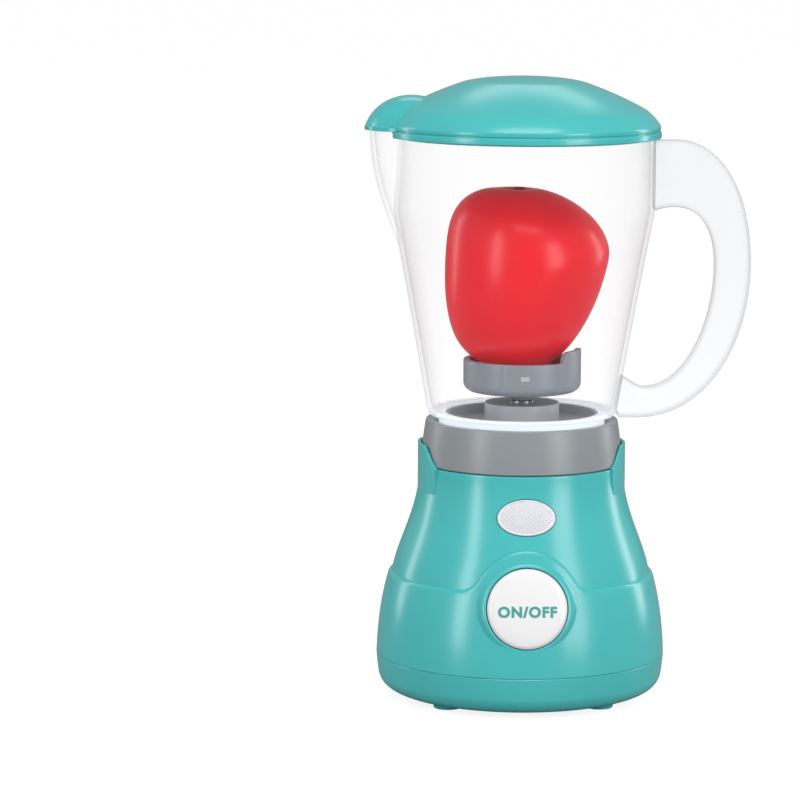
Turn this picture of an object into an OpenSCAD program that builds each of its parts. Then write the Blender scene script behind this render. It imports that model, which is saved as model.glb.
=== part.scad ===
// Battery toy blender with a lift-off jug, a pouring lid and a play pepper in the jug.
// Millimetres. +Z is up, the button faces -Y, the handle points to +X and the spout to -X.
// The origin is on the drive axis, in the plane that the feet stand on.

/* [Base] */
// Largest radius of the base
base_r = 55.8; // [52:0.2:60]
// Height of the moulded feet
foot_h = 1.4; // [1:0.2:3]
// Radius of each foot
foot_r = 5.8; // [4:0.1:6]
// Height of the seam between the bottom cover and the lower housing
seam_z = 16.5; // [15:0.5:20]
// Height of the lower housing's straight top edge
apron_z = 48.4; // [46:0.2:52]
// How far the upper housing stays inside the base's radius where the lower housing's top edge crosses it
shoulder_in = 5.9; // [5:0.1:7]
// How far the lower housing stands proud of the upper one
apron_proud = 1.1; // [0.8:0.1:1.6]
// Height of the upper housing's round rim
rim_z = 90.6; // [87:0.2:94]
// Radius of that rim
rim_r = 39.2; // [38:0.1:42]
// Wall of the two housings and the bottom cover
shell_t = 2; // [1.6:0.1:2.2]
// Radius of the two side ears that rise past the rim
ear_r = 40.1; // [40:0.1:42]
// Height of the ears above the rim
ear_h = 7.9; // [4:0.1:9]

/* [Button] */
// Radius of the power button
button_r = 15.1; // [13:0.1:16]
// Height of the button's centre
button_z = 42.6; // [41:0.2:44]
// How far the face of the button's bezel stays inside the base's radius
button_in = 3.6; // [3:0.1:4.2]
// Upward tilt of the button, in degrees
button_tilt = 11; // [8:0.5:13]
// Travel of the button
button_travel = 2.5; // [1.5:0.1:3]
// Width of the arch that rises round the button, from bezel to edge
arch_w = 5.8; // [4:0.1:7]

/* [Lamp] */
// Width of the oval lamp lens
lens_w = 22.1; // [18:0.1:24]
// Height of the lens
lens_h = 13.8; // [10:0.1:15]
// Height of the lens's centre
lens_z = 75.4; // [74:0.1:77]
// Upward tilt of the lens, in degrees
lens_tilt = 16; // [12:0.5:20]

/* [Jug socket] */
// Height of the socket wall above the housing's rim
collar_h = 16.9; // [14:0.1:18]
// Outer radius of the socket's top edge
collar_top_r = 37; // [36.6:0.1:38]
// Wall of the socket
collar_t = 2.7; // [2:0.1:2.8]
// Depth of the socket's floor below its top edge
socket_depth = 10.5; // [9:0.1:11]

/* [Jug] */
// Outer radius of the jug's neck ring, which drops into the socket
neck_r = 32; // [31:0.1:32.4]
// Height of the jug's inner floor above the socket's floor
jug_floor_h = 13.3; // [13:0.1:15]
// Outer radius of the jug at its bottom corner
jug_foot_r = 36.6; // [35.5:0.1:38]
// Outer radius of the jug at its rim
jug_rim_r = 50.4; // [48:0.1:52]
// Height of the jug from its inner floor to its rim
jug_h = 106.9; // [100:0.1:115]
// Wall of the jug
jug_t = 1.8; // [1.4:0.1:2.2]
// How far the centre of the spout's round front stays inside the rim
spout_in = 7.4; // [6.4:0.1:8.4]
// Radius of the spout at its mouth
spout_r = 16; // [15:0.1:17]
// Depth of the spout from its mouth to where it meets the wall
spout_h = 50; // [40:1:56]

/* [Handle] */
// Reach of the handle past the jug's rim
handle_reach = 37.2; // [32:0.2:42]
// Depth of the handle, front to back
handle_d = 15; // [12:0.5:18]
// Width of the handle at its side
handle_w = 13.7; // [12:0.1:16]

/* [Lid] */
// Height of the lid above the jug's rim
lid_h = 22.2; // [20:0.2:26]
// Overhang of the lid past the jug's rim
lid_lip = 2.2; // [1.8:0.1:2.6]
// Wall of the lid
lid_t = 1.8; // [1.4:0.1:2.4]
// Depth of the ring that plugs into the jug
plug_h = 1.6; // [1.2:0.1:5]

/* [Blade wheel] */
// Radius of the blade wheel
wheel_r = 22.7; // [21:0.1:24]
// Height of the wheel's wall
wheel_h = 11.9; // [11:0.1:13]
// Height of the tall tooth above that wall
tooth_h = 3.1; // [1:0.1:3.4]
// Radius of the dome that carries the wheel
dome_r = 14.4; // [13.5:0.1:15.5]
// Height of that dome above the jug's inner floor
dome_h = 3.7; // [3.5:0.1:4.5]
// Gap from the dome to the underside of the wheel
wheel_gap = 4.3; // [4:0.1:7]

/* [Drive] */
// Radius of the spindle and of the wheel's shaft
shaft_r = 2; // [1.8:0.1:2.2]
// Radial running clearance of each shaft in its bore
run_gap = 0.05; // [0.03:0.01:0.08]
// Module of the gears
gear_m = 0.6; // [0.5:0.05:0.65]
// Teeth of the motor pinion
pinion_teeth = 14; // [13:1:15]
// Teeth of the spindle gear
gear_teeth = 42; // [38:1:44]
// Face width of the spindle gear
gear_w = 5; // [4:0.5:6]
// Width of the motor's can
motor_w = 20.1; // [18:0.1:21]
// Thickness of the motor's can across its flats
motor_t = 15.1; // [14:0.1:16]
// Length of the motor's can
motor_l = 22; // [20:0.5:24]

/* [Batteries] */
// Radius of one AA cell
cell_r = 7.1; // [7:0.05:7.2]
// Length of a cell without its button end
cell_l = 49.2; // [48.5:0.1:49.5]

/* [Play pepper] */
// Height of the play pepper without its stalk
pepper_h = 71.5; // [66:0.5:73]
// Wall of the hollow pepper, as a share of its size
pepper_wall = 0.06; // [0.04:0.01:0.1]

/* [Fasteners] */
// Radius of a screw's shank
screw_r = 1.4; // [1.2:0.1:1.5]
// Clearance between a screw and the hole that it sits in
screw_gap = 0.05; // [0.02:0.01:0.1]

/* [Hidden] */
$fn = 96;
teal = "#4fbbba";
grey = "#969ba0";
clear = "#e8eef2";
steel = "#b9bec4";
brass = "#c9a750";

// Small gaps and overlaps shared by many pieces
seam = 0.3;    // shadow line between two mouldings
slip = 0.2;    // loose fit between mouldings that don't move
free = 0.4;    // clearance round pieces that lift or slide
cut = 1;       // how far a cutter runs past what it cuts

// A cubic curve through p[0] and p[3], pulled towards p[1] and p[2]
function bez(p, t) = let (u = 1 - t)
  u * u * u * p[0] + 3 * t * u * u * p[1] + 3 * t * t * u * p[2] + t * t * t * p[3];
function curve(p, n) = [for (i = [0:n]) bez(p, i / n)];
function back(p) = [for (i = [len(p) - 1:-1:0]) p[i]];
function grow(p, d) = [for (q = p) [q[0] + d, q[1]]];
function level(p) = [for (q = p) [q[1], q[0]]];

// Upper housing's outline, from its foot inside the lower housing to its rim
seat_z = apron_z - 10;
shoulder_r = base_r - shoulder_in;
seat_r = shoulder_r + 1.6;
flare_h = rim_z - apron_z;
skin = concat([[seat_r, seat_z]], curve([[shoulder_r, apron_z], [shoulder_r - 2.3, apron_z + 0.3 * flare_h],
  [rim_r + 0.2, apron_z + 0.56 * flare_h], [rim_r, rim_z]], 20));
function skin_r(z) = lookup(z, level(skin));

// Lower housing's outline
apron_h = apron_z - seam_z;
apron = curve([[base_r, seam_z], [base_r - 0.4, seam_z + 0.36 * apron_h],
  [base_r - 1.8, seam_z + 0.7 * apron_h], [shoulder_r + apron_proud, apron_z]], 14);
arch_r = button_r + 0.3 + arch_w;
arch_fillet = 7.7;

// Bottom cover
floor_t = 2.6;
plate_flat_r = base_r - 8.3;
plate = concat(curve([[plate_flat_r, foot_h], [plate_flat_r + 4, foot_h], [base_r - 1.6, foot_h + 2],
  [base_r - 0.9, foot_h + 5.6]], 8), [[base_r, seam_z - seam]]);
foot_at = (plate_flat_r - foot_r - 0.8) / sqrt(2);
column_r = 4;
column_at = [36, 17];
column_top = 30;
head_r = 1.95 * screw_r;
head_h = 2.2;
screw_seat_z = 24;
sides = [-1, 1];

// Battery bay and its door
bay_wall = 1.6;
bay_x = cell_l / 2 + 4.4;
bay_y = 2 * cell_r + 0.8;
door_t = 1.4;
door_z = foot_h + door_t;
cell_z = door_z + 0.4 + cell_r;
bay_top = cell_z + cell_r + 0.9;
door_rim = 2.5;
lug_x = bay_x + 6.5;
lug_r = 4.5;
lug_t = 2.4;
door_head_h = 1.1;
contact_t = 0.4;
nub_l = 1;
cell_gap = 0.1;

// Button, measured along its own axis from the face of the bezel
button_y = base_r - button_in;
bezel_z = -0.3;
guide_end = -9;
flange_t = 1.2;
flange_r = button_r + 1.5;
cap_t = 1.5;
dome_rise = 1.6;
bracket_z = -17.4;
bracket_t = 1.8;
post_at = [17, -13];
post_r = 2.8;
spring_r = 7.2;
wire_r = 0.35;
switch_w = 8;
switch_low = bracket_z - 4.6;
switch_top = bracket_z + 1.2;
plunger_r = 1.5;
post_end = switch_top + button_travel + 0.5;

// Lamp, measured along its own axis from the housing's skin
lens_y = skin_r(lens_z);
lens_flange_z = -shell_t - 2.3;
lens_end = lens_flange_z - 1.2;
lens_ball = 30;
led_post_x = lens_w / 2 + 5;
led_board_z = -15.4;
led_board_t = 1.6;
led_r = 2.5;

// Jug socket
collar_z = rim_z + seam;
collar_top = rim_z + collar_h;
collar_r = rim_r - 0.5;
collar_in = collar_top_r - collar_t;
socket_z = collar_top - socket_depth;
socket_floor_t = 2.5;
spigot_r = rim_r - shell_t - slip;
ledge_t = 2;
ledge_top = rim_z - 4.6;
ledge_in = 27.5;
ledge_screw_at = 31.6;
boss_r = 3;

// Gear box under the socket
pillar_x = 19;
pillar_y = [-8, 14];
pillar_at = [for (x = sides) for (y = pillar_y) [x * pillar_x, y]];
pillar_edge = 5;
mesh_play = 0.1;
axle_gap = (pinion_teeth + gear_teeth) * gear_m / 2 + mesh_play;
gear_z = ledge_top - 6;
box_t = 2.5;
box_top = gear_z - 4;
bush_r = 4;
bush_z = gear_z + gear_w + 3;
motor_top = box_top - box_t;
motor_z = motor_top - motor_l;
cap_h = 4;
rotor_r = 1;
retainer_z = motor_z - cap_h;
retainer_t = 2;
strap_x = motor_w / 2 + 4;
box_back = axle_gap + motor_t / 2 + 2.5;

// Jug
jug_floor = socket_z + jug_floor_h;
jug_rim = jug_floor + jug_h;
neck_t = 2.2;
neck_z = socket_z + 1.8;
jug_under = jug_floor - 1.1;
jug_bend = jug_floor + 76.7;
corner = 2;
jug_flare = jug_rim_r - jug_foot_r;
jug_side = curve([[jug_foot_r, jug_under + corner], [jug_foot_r + 0.29 * jug_flare, jug_under + 25],
  [jug_foot_r + 0.58 * jug_flare, jug_under + 49], [jug_rim_r - 0.2, jug_bend]], 14);
spout_x = jug_rim_r - spout_in;
spout_tip = 1.4;
spout_side = curve([[spout_r, jug_rim + spout_tip], [spout_r - 0.6, jug_rim - 0.42 * spout_h],
  [0.5 * spout_r, jug_rim - 0.65 * spout_h], [0.15 * spout_r, jug_rim - spout_h]], 12);

// Handle, between an outer and an inner curve in the XZ plane
lip_h = 0.9;
grip_mid = jug_floor + 0.53 * jug_h;
handle_x = jug_rim_r + handle_reach;
handle_top = jug_rim - lip_h - 1;
handle_foot = jug_floor - 2;
handle_out = [[[36, handle_top], [44, handle_top], [52, handle_top], [60, handle_top]],
  [[60, handle_top], [77, handle_top - 1], [handle_x, grip_mid + 27], [handle_x, grip_mid]],
  [[handle_x, grip_mid], [handle_x, grip_mid - 29], [handle_x - 15.6, handle_foot], [44, handle_foot]],
  [[44, handle_foot], [40, handle_foot], [34, handle_foot], [30, handle_foot]]];
handle_in = [[[36, handle_top - 29], [42, handle_top - 29], [46, handle_top - 28.5], [51, handle_top - 26.7]],
  [[51, handle_top - 26.7], [66, handle_top - 22], [handle_x - handle_w, grip_mid + 16],
   [handle_x - handle_w, grip_mid]],
  [[handle_x - handle_w, grip_mid], [handle_x - handle_w, grip_mid - 24], [62, handle_foot + 10],
   [46, handle_foot + 11.6]],
  [[46, handle_foot + 11.6], [43, handle_foot + 12.4], [40, handle_foot + 16], [30, handle_foot + 20]]];
handle_steps = 9;
handle_sides = 20;
handle_round = 0.42;
handle_gap = 0.12;

// Blade carrier and wheel
carrier_r = neck_r - neck_t - slip;
carrier_t = 1.4;
dish_z = jug_floor - 4.3;
dish_t = 2;
dome_top = jug_floor + dome_h;
key_w = 5;
key_h = 7;
wheel_z = dome_top + wheel_gap;
wheel_t = 2.5;
wheel_round = 3.6;
hub_r = 4.2;
washer_t = 0.6;
vane_t = 1.8;
pad_out = 0.35;
vane_top = wheel_z + 7;
panel_turn = -21;
dog_r = 9.5;
dog_disc = 2;
dog_lug = 3.8;
dog_in = 3.4;
dog_turn = 40;
dog_z = socket_z + 0.6;
driven_z = dog_z + dog_disc + dog_lug + 0.6;
driven_hub = 3.6;
spindle_foot = box_top - box_t + 1;

// Lid
lid_r = jug_rim_r + lid_lip;
lid_edge = 1.6;
lid_top = jug_rim + lid_h;
crown_r = 24.5;
lid_side = concat([[lid_r - 0.3, jug_rim - lip_h], [lid_r, jug_rim - lip_h + 0.4], [lid_r, jug_rim + lid_edge]],
  curve([[lid_r - 0.3, jug_rim + lid_edge + 0.5], [lid_r - 0.3, jug_rim + 0.33 * lid_h],
  [lid_r - 2.4, jug_rim + 0.43 * lid_h], [lid_r - 5.6, jug_rim + 0.5 * lid_h]], 8),
  curve([[lid_r - 6.6, jug_rim + 0.515 * lid_h], [0.55 * lid_r + 0.45 * crown_r, jug_rim + 0.644 * lid_h],
  [crown_r + 8, jug_rim + 0.79 * lid_h], [crown_r, jug_rim + 0.92 * lid_h]], 8));
crown = curve([[crown_r - 1, jug_rim + 0.945 * lid_h], [0.7 * crown_r, jug_rim + 0.985 * lid_h],
  [0.35 * crown_r, lid_top], [0, lid_top]], 6);
hood_r = spout_r + 2;
hood_z = jug_rim + spout_tip + slip;
hood_h = 13.2;
hood_side = concat([[hood_r, hood_z], [hood_r, hood_z + 1.4]], curve([[hood_r - 0.4, hood_z + 2],
  [0.85 * hood_r, hood_z + 0.62 * hood_h], [0.5 * hood_r, hood_z + hood_h], [0, hood_z + hood_h]], 8));

// Play pepper, between a left and a right curve in the XZ plane
pepper_z = vane_top + 0.4;
pepper_u = pepper_h / 69.5;
pepper_left = [[[0, 0], [-23, 1], [-29.7, 13], [-29.7, 36]],
  [[-29.7, 36], [-29.7, 59], [-27, 69.8], [-5, 69.5]]];
pepper_right = [[[0, 0], [16.5, 0.5], [28.5, 21], [32.8, 44]],
  [[32.8, 44], [32.8, 56], [18, 69], [-1, 69.5]]];
pepper_rows = 9;
pepper_sides = 32;
pepper_lobe = 0.045;
dimple = 2.2;
stalk_r = 2.6;
stalk_h = 4.2;
stalk_z = pepper_z + pepper_h - dimple - 2.6;

// ---------- shared shapes ----------

// A revolved wall between an outline and the same outline moved inwards
module wall(outline, t) {
  rotate_extrude() polygon(concat(outline, back(grow(outline, -t))));
}

// A revolved solid under an outline
module filled(outline) {
  rotate_extrude() polygon(concat([[0, outline[0][1]]], outline, [[0, outline[len(outline) - 1][1]]]));
}

// A ring with square corners
module ring(r_out, r_in, z, h) {
  translate([0, 0, z]) difference() {
    cylinder(r = r_out, h = h);
    translate([0, 0, -cut]) cylinder(r = r_in, h = h + 2 * cut);
  }
}

module rod(r, z, h) {
  translate([0, 0, z]) cylinder(r = r, h = h);
}

module block(x, y, z, at) {
  translate([at[0] - x / 2, at[1] - y / 2, at[2]]) cube([x, y, z]);
}

// Rings of points joined into one closed skin with flat ends
module skinned(rings) {
  n = len(rings[0]);
  last = len(rings) - 1;
  points = [for (r = rings) for (p = r) p];
  sides_f = [for (i = [0:last - 1]) for (j = [0:n - 1]) let (k = (j + 1) % n)
    each [[i * n + j, i * n + k, (i + 1) * n + k], [i * n + j, (i + 1) * n + k, (i + 1) * n + j]]];
  ends = [[for (j = [n - 1:-1:0]) j], [for (j = [0:n - 1]) last * n + j]];
  polyhedron(points = points, faces = [for (f = concat(sides_f, ends)) back(f)], convexity = 8);
}

// Direction of a route at point i, and a round section square to it
function unit(v) = v / norm(v);
function heading(p, i) = unit(p[min(i + 1, len(p) - 1)] - p[max(i - 1, 0)]);
function section(c, d, r, n) =
  let (side = unit(cross(d, abs(d[2]) > 0.9 ? [0, 1, 0] : [0, 0, 1])), up = cross(side, d))
  [for (j = [0:n - 1]) c + r * (cos(360 * j / n) * side - sin(360 * j / n) * up)];
module tube(route, r, n = 6) {
  skinned([for (i = [0:len(route) - 1]) section(route[i], heading(route, i), r, n)]);
}

// A coil along Z; each section stays upright beside the axis
module coil(r, z0, z1, turns, wire) {
  per_turn = 12;
  last = turns * per_turn;
  skinned([for (i = [0:last]) let (a = 360 * i / per_turn, z = z0 + wire + (z1 - z0 - 2 * wire) * i / last)
    [for (j = [0:5]) let (q = r + wire * cos(60 * j)) [q * cos(a), q * sin(a), z - wire * sin(60 * j)]]]);
}

// Screw along Z with its head below z, and the hole that takes it
module screw(z, l, r = screw_r) {
  rod(r, z - 0.2, l + 0.2);
  difference() {
    rod(1.95 * r, z - head_h, head_h);
    for (a = [0, 90]) rotate(a) translate([-r, -0.35, z - head_h - cut]) cube([2 * r, 0.7, cut + 1]);
  }
}
module screw_hole(z, l, r = screw_r) {
  rod(r + screw_gap, z - cut, l + cut + 0.5);
}

module at_each(points) {
  for (p = points) translate([p[0], p[1], 0]) children();
}
function corners(p) = [for (x = sides) for (y = sides) [x * p[0], y * p[1]]];

// Frames of the button and of the lamp: Z points out of the housing
module on_button() {
  translate([0, -button_y, button_z]) rotate([90 - button_tilt, 0, 0]) children();
}
module on_lens() {
  translate([0, -lens_y, lens_z]) rotate([90 - lens_tilt, 0, 0]) children();
}

function oval(w, h, n = 48) = [for (i = [0:n - 1]) [w / 2 * cos(360 * i / n), h / 2 * sin(360 * i / n)]];

// Involute gear tooth by tooth; half is the tooth's half angle at its base circle
function inv_angle(rb, r) = let (a = acos(min(1, rb / r))) tan(a) * 180 / PI - a;
function flank(rb, rf, ra, half) = [for (i = [0:3]) let (r = max(rb, rf) + (ra - max(rb, rf)) * i / 3)
  [r, half - inv_angle(rb, r)]];
function gear_outline(teeth, m, play) = let (rp = teeth * m / 2, rb = rp * cos(20), rf = rp - 1.15 * m,
    ra = rp + 0.8 * m, half = 90 / teeth - play / rp * 90 / PI + inv_angle(rb, rp), f = flank(rb, rf, ra, half))
  [for (k = [0:teeth - 1]) let (mid = 360 * k / teeth) each concat([[rf, mid - half]],
    [for (p = f) [p[0], mid - p[1]]], [for (p = back(f)) [p[0], mid + p[1]]], [[rf, mid + half]])];
module gear(teeth, m, w, turn = 0) {
  rotate(turn) linear_extrude(w)
    polygon([for (p = gear_outline(teeth, m, mesh_play)) p[0] * [cos(p[1]), sin(p[1])]]);
}

// ---------- base ----------

// Outline of the raised front of the lower housing, seen from the front, measured from the button's centre
module arch_mask() {
  h = apron_z - button_z;
  xf = sqrt(pow(arch_r + arch_fillet, 2) - pow(h + arch_fillet, 2));
  a0 = atan2(h + arch_fillet, xf);
  steps = 16;
  arc = [for (i = [0:steps]) let (a = a0 + (180 - 2 * a0) * i / steps) arch_r * [cos(a), sin(a)]];
  left = [for (i = [0:6]) let (a = -a0 - (90 - a0) * i / 6)
    [-xf, h + arch_fillet] + arch_fillet * [cos(a), sin(a)]];
  right = [for (i = [6:-1:0]) let (a = 180 + a0 + (90 - a0) * i / 6)
    [xf, h + arch_fillet] + arch_fillet * [cos(a), sin(a)]];
  translate([0, 0, button_z]) rotate([90, 0, 0]) linear_extrude(base_r + 5)
    polygon(concat(arc, left, [[-xf, h - 2], [xf, h - 2]], right));
}

module base_plate() color(teal) difference() {
  union() {
    wall(plate, shell_t + 0.2);
    rod(plate_flat_r + 1, foot_h, floor_t);
    ring(base_r - shell_t - 0.4, base_r - shell_t - 2, seam_z - 5, 8);
    at_each(corners([foot_at, foot_at])) cylinder(r = foot_r, h = foot_h + 1);
    at_each(corners(column_at)) rod(column_r, foot_h, column_top - foot_h);
    block(2 * (bay_x + bay_wall), 2 * (bay_y + bay_wall), bay_top + bay_wall - foot_h, [0, 0, foot_h]);
    translate([lug_x, 0, 0]) rod(lug_r - 0.5, foot_h, 12);
  }
  block(2 * bay_x, 2 * bay_y, bay_top - foot_h + cut, [0, 0, foot_h - cut]);
  block(2 * (bay_x + door_rim + slip), 2 * (bay_y + door_rim + slip), door_t + cut, [0, 0, foot_h - cut]);
  block(lug_x - bay_x, 2 * (lug_r + slip), door_t + cut, [(lug_x + bay_x) / 2, 0, foot_h - cut]);
  translate([lug_x, 0, 0]) {
    rod(lug_r + slip, foot_h - cut, lug_t + cut);
    screw_hole(foot_h + lug_t, 8);
  }
  for (x = sides) block(4, 6, 4, [x * (bay_x - 4), 0, bay_top - cut]);
  at_each(corners(column_at)) {
    rod(head_r + 0.4, foot_h - cut, screw_seat_z - foot_h + cut);
    rod(screw_r + 0.2, foot_h, column_top);
  }
}

module lower_housing() color(teal) {
  inner_top = [for (p = back(skin)) if (p[1] < apron_z + 0.01) [p[0] + 0.1, p[1]]];
  shelf = seat_r - 1.5;
  low = [for (p = back(apron)) if (p[1] < seat_z - 5) [p[0] - shell_t - 0.2, p[1]]];
  section_pts = concat(apron, inner_top, [[shelf, seat_z], [shelf, seat_z - 1.8]], low);
  arch_skin = [for (p = skin) if (p[1] >= apron_z - 0.01 && p[1] < button_z + arch_r + 4) p];
  difference() {
    union() {
      rotate_extrude() polygon(section_pts);
      intersection() {
        rotate_extrude() polygon(concat(grow(arch_skin, apron_proud), back(grow(arch_skin, 0.1))));
        arch_mask();
      }
      intersection() {
        on_button() {
          translate([0, 0, guide_end]) cylinder(r = button_r + 2.7, h = -guide_end - 2.5);
          translate([0, 0, -2.5]) cylinder(r1 = button_r + 3, r2 = button_r + 2, h = 2.5 + bezel_z);
        }
        rod(base_r + 5, seam_z, rim_z);
      }
      intersection() {
        on_button() at_each([for (x = sides) [x * post_at[0], post_at[1]]])
          translate([0, 0, bracket_z]) cylinder(r = post_r, h = -bracket_z);
        filled(grow(apron, -0.8));
      }
    }
    on_button() {
      translate([0, 0, guide_end - cut]) cylinder(r = button_r + 0.3, h = 20);
      at_each([for (x = sides) [x * post_at[0], post_at[1]]]) screw_hole(bracket_z, 7);
    }
  }
}

// Raised strips on both sides of the upper housing, whose tops are the ears that hold the socket
module ears() {
  foot_w = ear_r * sin(32);
  top_w = ear_r * sin(15);
  low_z = rim_z - 18;
  ear_in = collar_r + slip;
  slope = [for (i = [0:10]) [-foot_w + (foot_w - top_w) * i / 10, rim_z + ear_h * (1 - cos(18 * i)) / 2]];
  intersection() {
    rotate_extrude() polygon([[rim_r - 1, low_z], [ear_r, low_z], [ear_r, rim_z + ear_h],
      [ear_in, rim_z + ear_h], [ear_in, rim_z], [rim_r - 1, rim_z]]);
    rotate([90, 0, 90]) translate([0, 0, -base_r]) linear_extrude(2 * base_r)
      polygon(concat([[-foot_w, low_z - cut]], slope, back([for (p = slope) [-p[0], p[1]]]),
        [[foot_w, low_z - cut]]));
  }
}

module at_ledge_screws() {
  for (a = [45:90:315]) rotate(a) translate([ledge_screw_at, 0, 0]) children();
}

module upper_housing() color(teal) difference() {
  union() {
    wall(skin, shell_t);
    ears();
    ring(rim_r - 1, ledge_in, ledge_top - ledge_t, ledge_t);
    intersection() {
      at_each(corners(column_at)) rod(column_r - 0.4, column_top, rim_z - 22 - column_top);
      filled(concat([[seat_r - 3, column_top], [seat_r - 3, seat_z]],
        grow([for (p = skin) if (p[1] > seat_z) p], -0.6)));
    }
    intersection() {
      on_lens() at_each([for (x = sides) [x * led_post_x, 0]]) translate([0, 0, led_board_z])
        cylinder(r = 2.4, h = -led_board_z);
      filled(grow(skin, -0.8));
    }
  }
  intersection() {
    on_button() translate([0, 0, -35]) cylinder(r = button_r + 3.4, h = 45);
    translate([-base_r, -base_r - 10, 0]) cube([2 * base_r, base_r, rim_z]);
  }
  on_lens() {
    translate([0, 0, -12]) linear_extrude(20) polygon(oval(lens_w + 2 * slip, lens_h + 2 * slip));
    at_each([for (x = sides) [x * led_post_x, 0]]) screw_hole(led_board_z, 6, screw_r - 0.3);
  }
  at_each(corners(column_at)) screw_hole(column_top, 13);
  at_ledge_screws() rod(screw_r + 0.2, ledge_top - ledge_t - cut, 4);
}

module jug_socket() color(grey) {
  difference() {
    union() {
      rotate_extrude() polygon([[collar_in, socket_z - socket_floor_t],
        [spigot_r - 2.2, socket_z - socket_floor_t], [spigot_r - 2.2, ledge_top], [spigot_r, ledge_top],
        [spigot_r, collar_z], [collar_r, collar_z],
        [collar_r - 0.5, (collar_z + collar_top) / 2], [collar_top_r, collar_top - 0.6],
        [collar_top_r - 0.6, collar_top], [collar_in + 0.3, collar_top], [collar_in, collar_top - 0.4]]);
      rod(collar_in + 1, socket_z - socket_floor_t, socket_floor_t);
      rod(bush_r + 2, bush_z, socket_z - bush_z);
      at_ledge_screws() rod(boss_r, ledge_top, socket_z - ledge_top);
      at_each(pillar_at) rod(boss_r, box_top, socket_z - box_top - 1);
      // stops that keep the jug from turning
      for (x = sides) for (y = sides) intersection() {
        block(8, 2, key_h, [x * collar_in, y * (key_w / 2 + free + 1), socket_z]);
        ring(collar_in + 1, neck_r + free, socket_z, key_h);
      }
    }
    rod(bush_r + 0.02, bush_z - cut, socket_z - bush_z + 2 * cut);
    at_ledge_screws() screw_hole(ledge_top, 6);
    at_each(pillar_at) screw_hole(box_top, 7);
  }
}

module socket_screws() color(steel) at_ledge_screws() screw(ledge_top - ledge_t, 7.5);

module housing_screws() color(steel)
  at_each(corners(column_at)) screw(screw_seat_z, column_top - screw_seat_z + 12);

// ---------- batteries ----------

module battery_door() color(teal) difference() {
  union() {
    block(2 * (bay_x + door_rim), 2 * (bay_y + door_rim), door_t, [0, 0, foot_h]);
    translate([lug_x, 0, 0]) rod(lug_r, foot_h, lug_t);
    block(lug_x - bay_x, 2 * lug_r, door_t, [(lug_x + bay_x) / 2, 0, foot_h]);
  }
  translate([lug_x, 0, 0]) {
    rod(screw_r + 0.2, foot_h - cut, lug_t + 2 * cut);
    rod(head_r + slip, foot_h - cut, door_head_h + 0.1 + cut);
  }
  for (i = [-3:3]) block(1, 14, 0.5 + cut, [-bay_x + 8 + 2 * i, 0, foot_h - cut]);
}

module door_screw() color(steel) translate([lug_x, 0, 0]) {
  rod(screw_r, foot_h + door_head_h, 8);
  difference() {
    rod(head_r, foot_h + 0.1, door_head_h);
    for (a = [0, 90]) rotate(a) block(2 * screw_r, 0.7, cut + 0.7, [0, 0, foot_h + 0.1 - cut]);
  }
}

// One row of the bay: the cell's button end points to +X when way is 1 and to -X when it is -1
module in_bay(way) {
  translate([0, -way * (cell_r + 0.3), cell_z]) rotate(way > 0 ? 0 : 180) rotate([0, 90, 0]) children();
}
nub_tip = bay_x - contact_t - cell_gap;
cell_end = nub_tip - nub_l - cell_l;

module battery_cells() for (way = sides) in_bay(way) {
  color("#3c4046") rod(cell_r, cell_end, cell_l);
  color(steel) rod(2.75, cell_end + cell_l - 0.1, nub_l + 0.1);
}

module battery_contacts() color(steel) {
  for (way = sides) in_bay(way) translate([-5, -5, bay_x - contact_t]) cube([10, 10, contact_t]);
  for (way = sides) in_bay(way) translate([-5, -5, -bay_x]) cube([10, 10, contact_t]);
}

module battery_springs() color(steel) for (way = sides) in_bay(way)
  coil(3.4, -bay_x + contact_t, cell_end - cell_gap, 4, 0.35);

// ---------- button and switch ----------

module power_button() color("#faf8fa") on_button() {
  rise = [for (i = [0:8]) [(button_r - 0.5) * sin(90 * i / 8), 0.2 + dome_rise * cos(90 * i / 8)]];
  difference() {
    rotate_extrude() polygon(concat([[0, 0.2]], rise, [[button_r, -0.3], [button_r, guide_end - 0.1],
      [flange_r, guide_end - 0.1], [flange_r, guide_end - 0.1 - flange_t], [0, guide_end - 0.1 - flange_t]]));
    translate([0, 0, guide_end - 5]) cylinder(r = button_r - cap_t, h = -guide_end + 5 - 1.6);
  }
  translate([0, 0, post_end]) cylinder(r = plunger_r + 1.1, h = -post_end - 1.2);
  difference() {
    translate([0, 0, -3.4]) cylinder(r = spring_r + 2, h = 2.2);
    translate([0, 0, -3.4 - cut]) cylinder(r = spring_r + 0.8, h = 1.8 + cut);
  }
}

module button_spring() color(steel) on_button() coil(spring_r, bracket_z + 0.05, -1.6 - 0.05, 7, wire_r);

module switch_plunger() color("#d8d8d4") on_button()
  translate([0, 0, switch_top - 1.5]) cylinder(r = plunger_r, h = post_end - switch_top + 1.5);

module push_switch() color("#2d2f33") on_button() difference() {
  translate([-switch_w / 2, -switch_w / 2, switch_low]) cube([switch_w, switch_w, switch_top - switch_low]);
  translate([0, 0, switch_top - 1.5 - button_travel - 0.5]) cylinder(r = plunger_r + run_gap, h = 10);
}

module switch_bracket() color("#d9dcdc") on_button() difference() {
  union() {
    translate([-post_at[0] - 4, post_at[1] - 4, bracket_z - bracket_t])
      cube([2 * post_at[0] + 8, 8, bracket_t]);
    translate([-11, post_at[1], bracket_z - bracket_t]) cube([22, 11 - post_at[1], bracket_t]);
  }
  translate([-switch_w / 2 - 0.1, -switch_w / 2 - 0.1, bracket_z - 5])
    cube([switch_w + 0.2, switch_w + 0.2, 10]);
  at_each([for (x = sides) [x * post_at[0], post_at[1]]]) rod(screw_r + 0.2, bracket_z - bracket_t - cut, 5);
}

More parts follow.
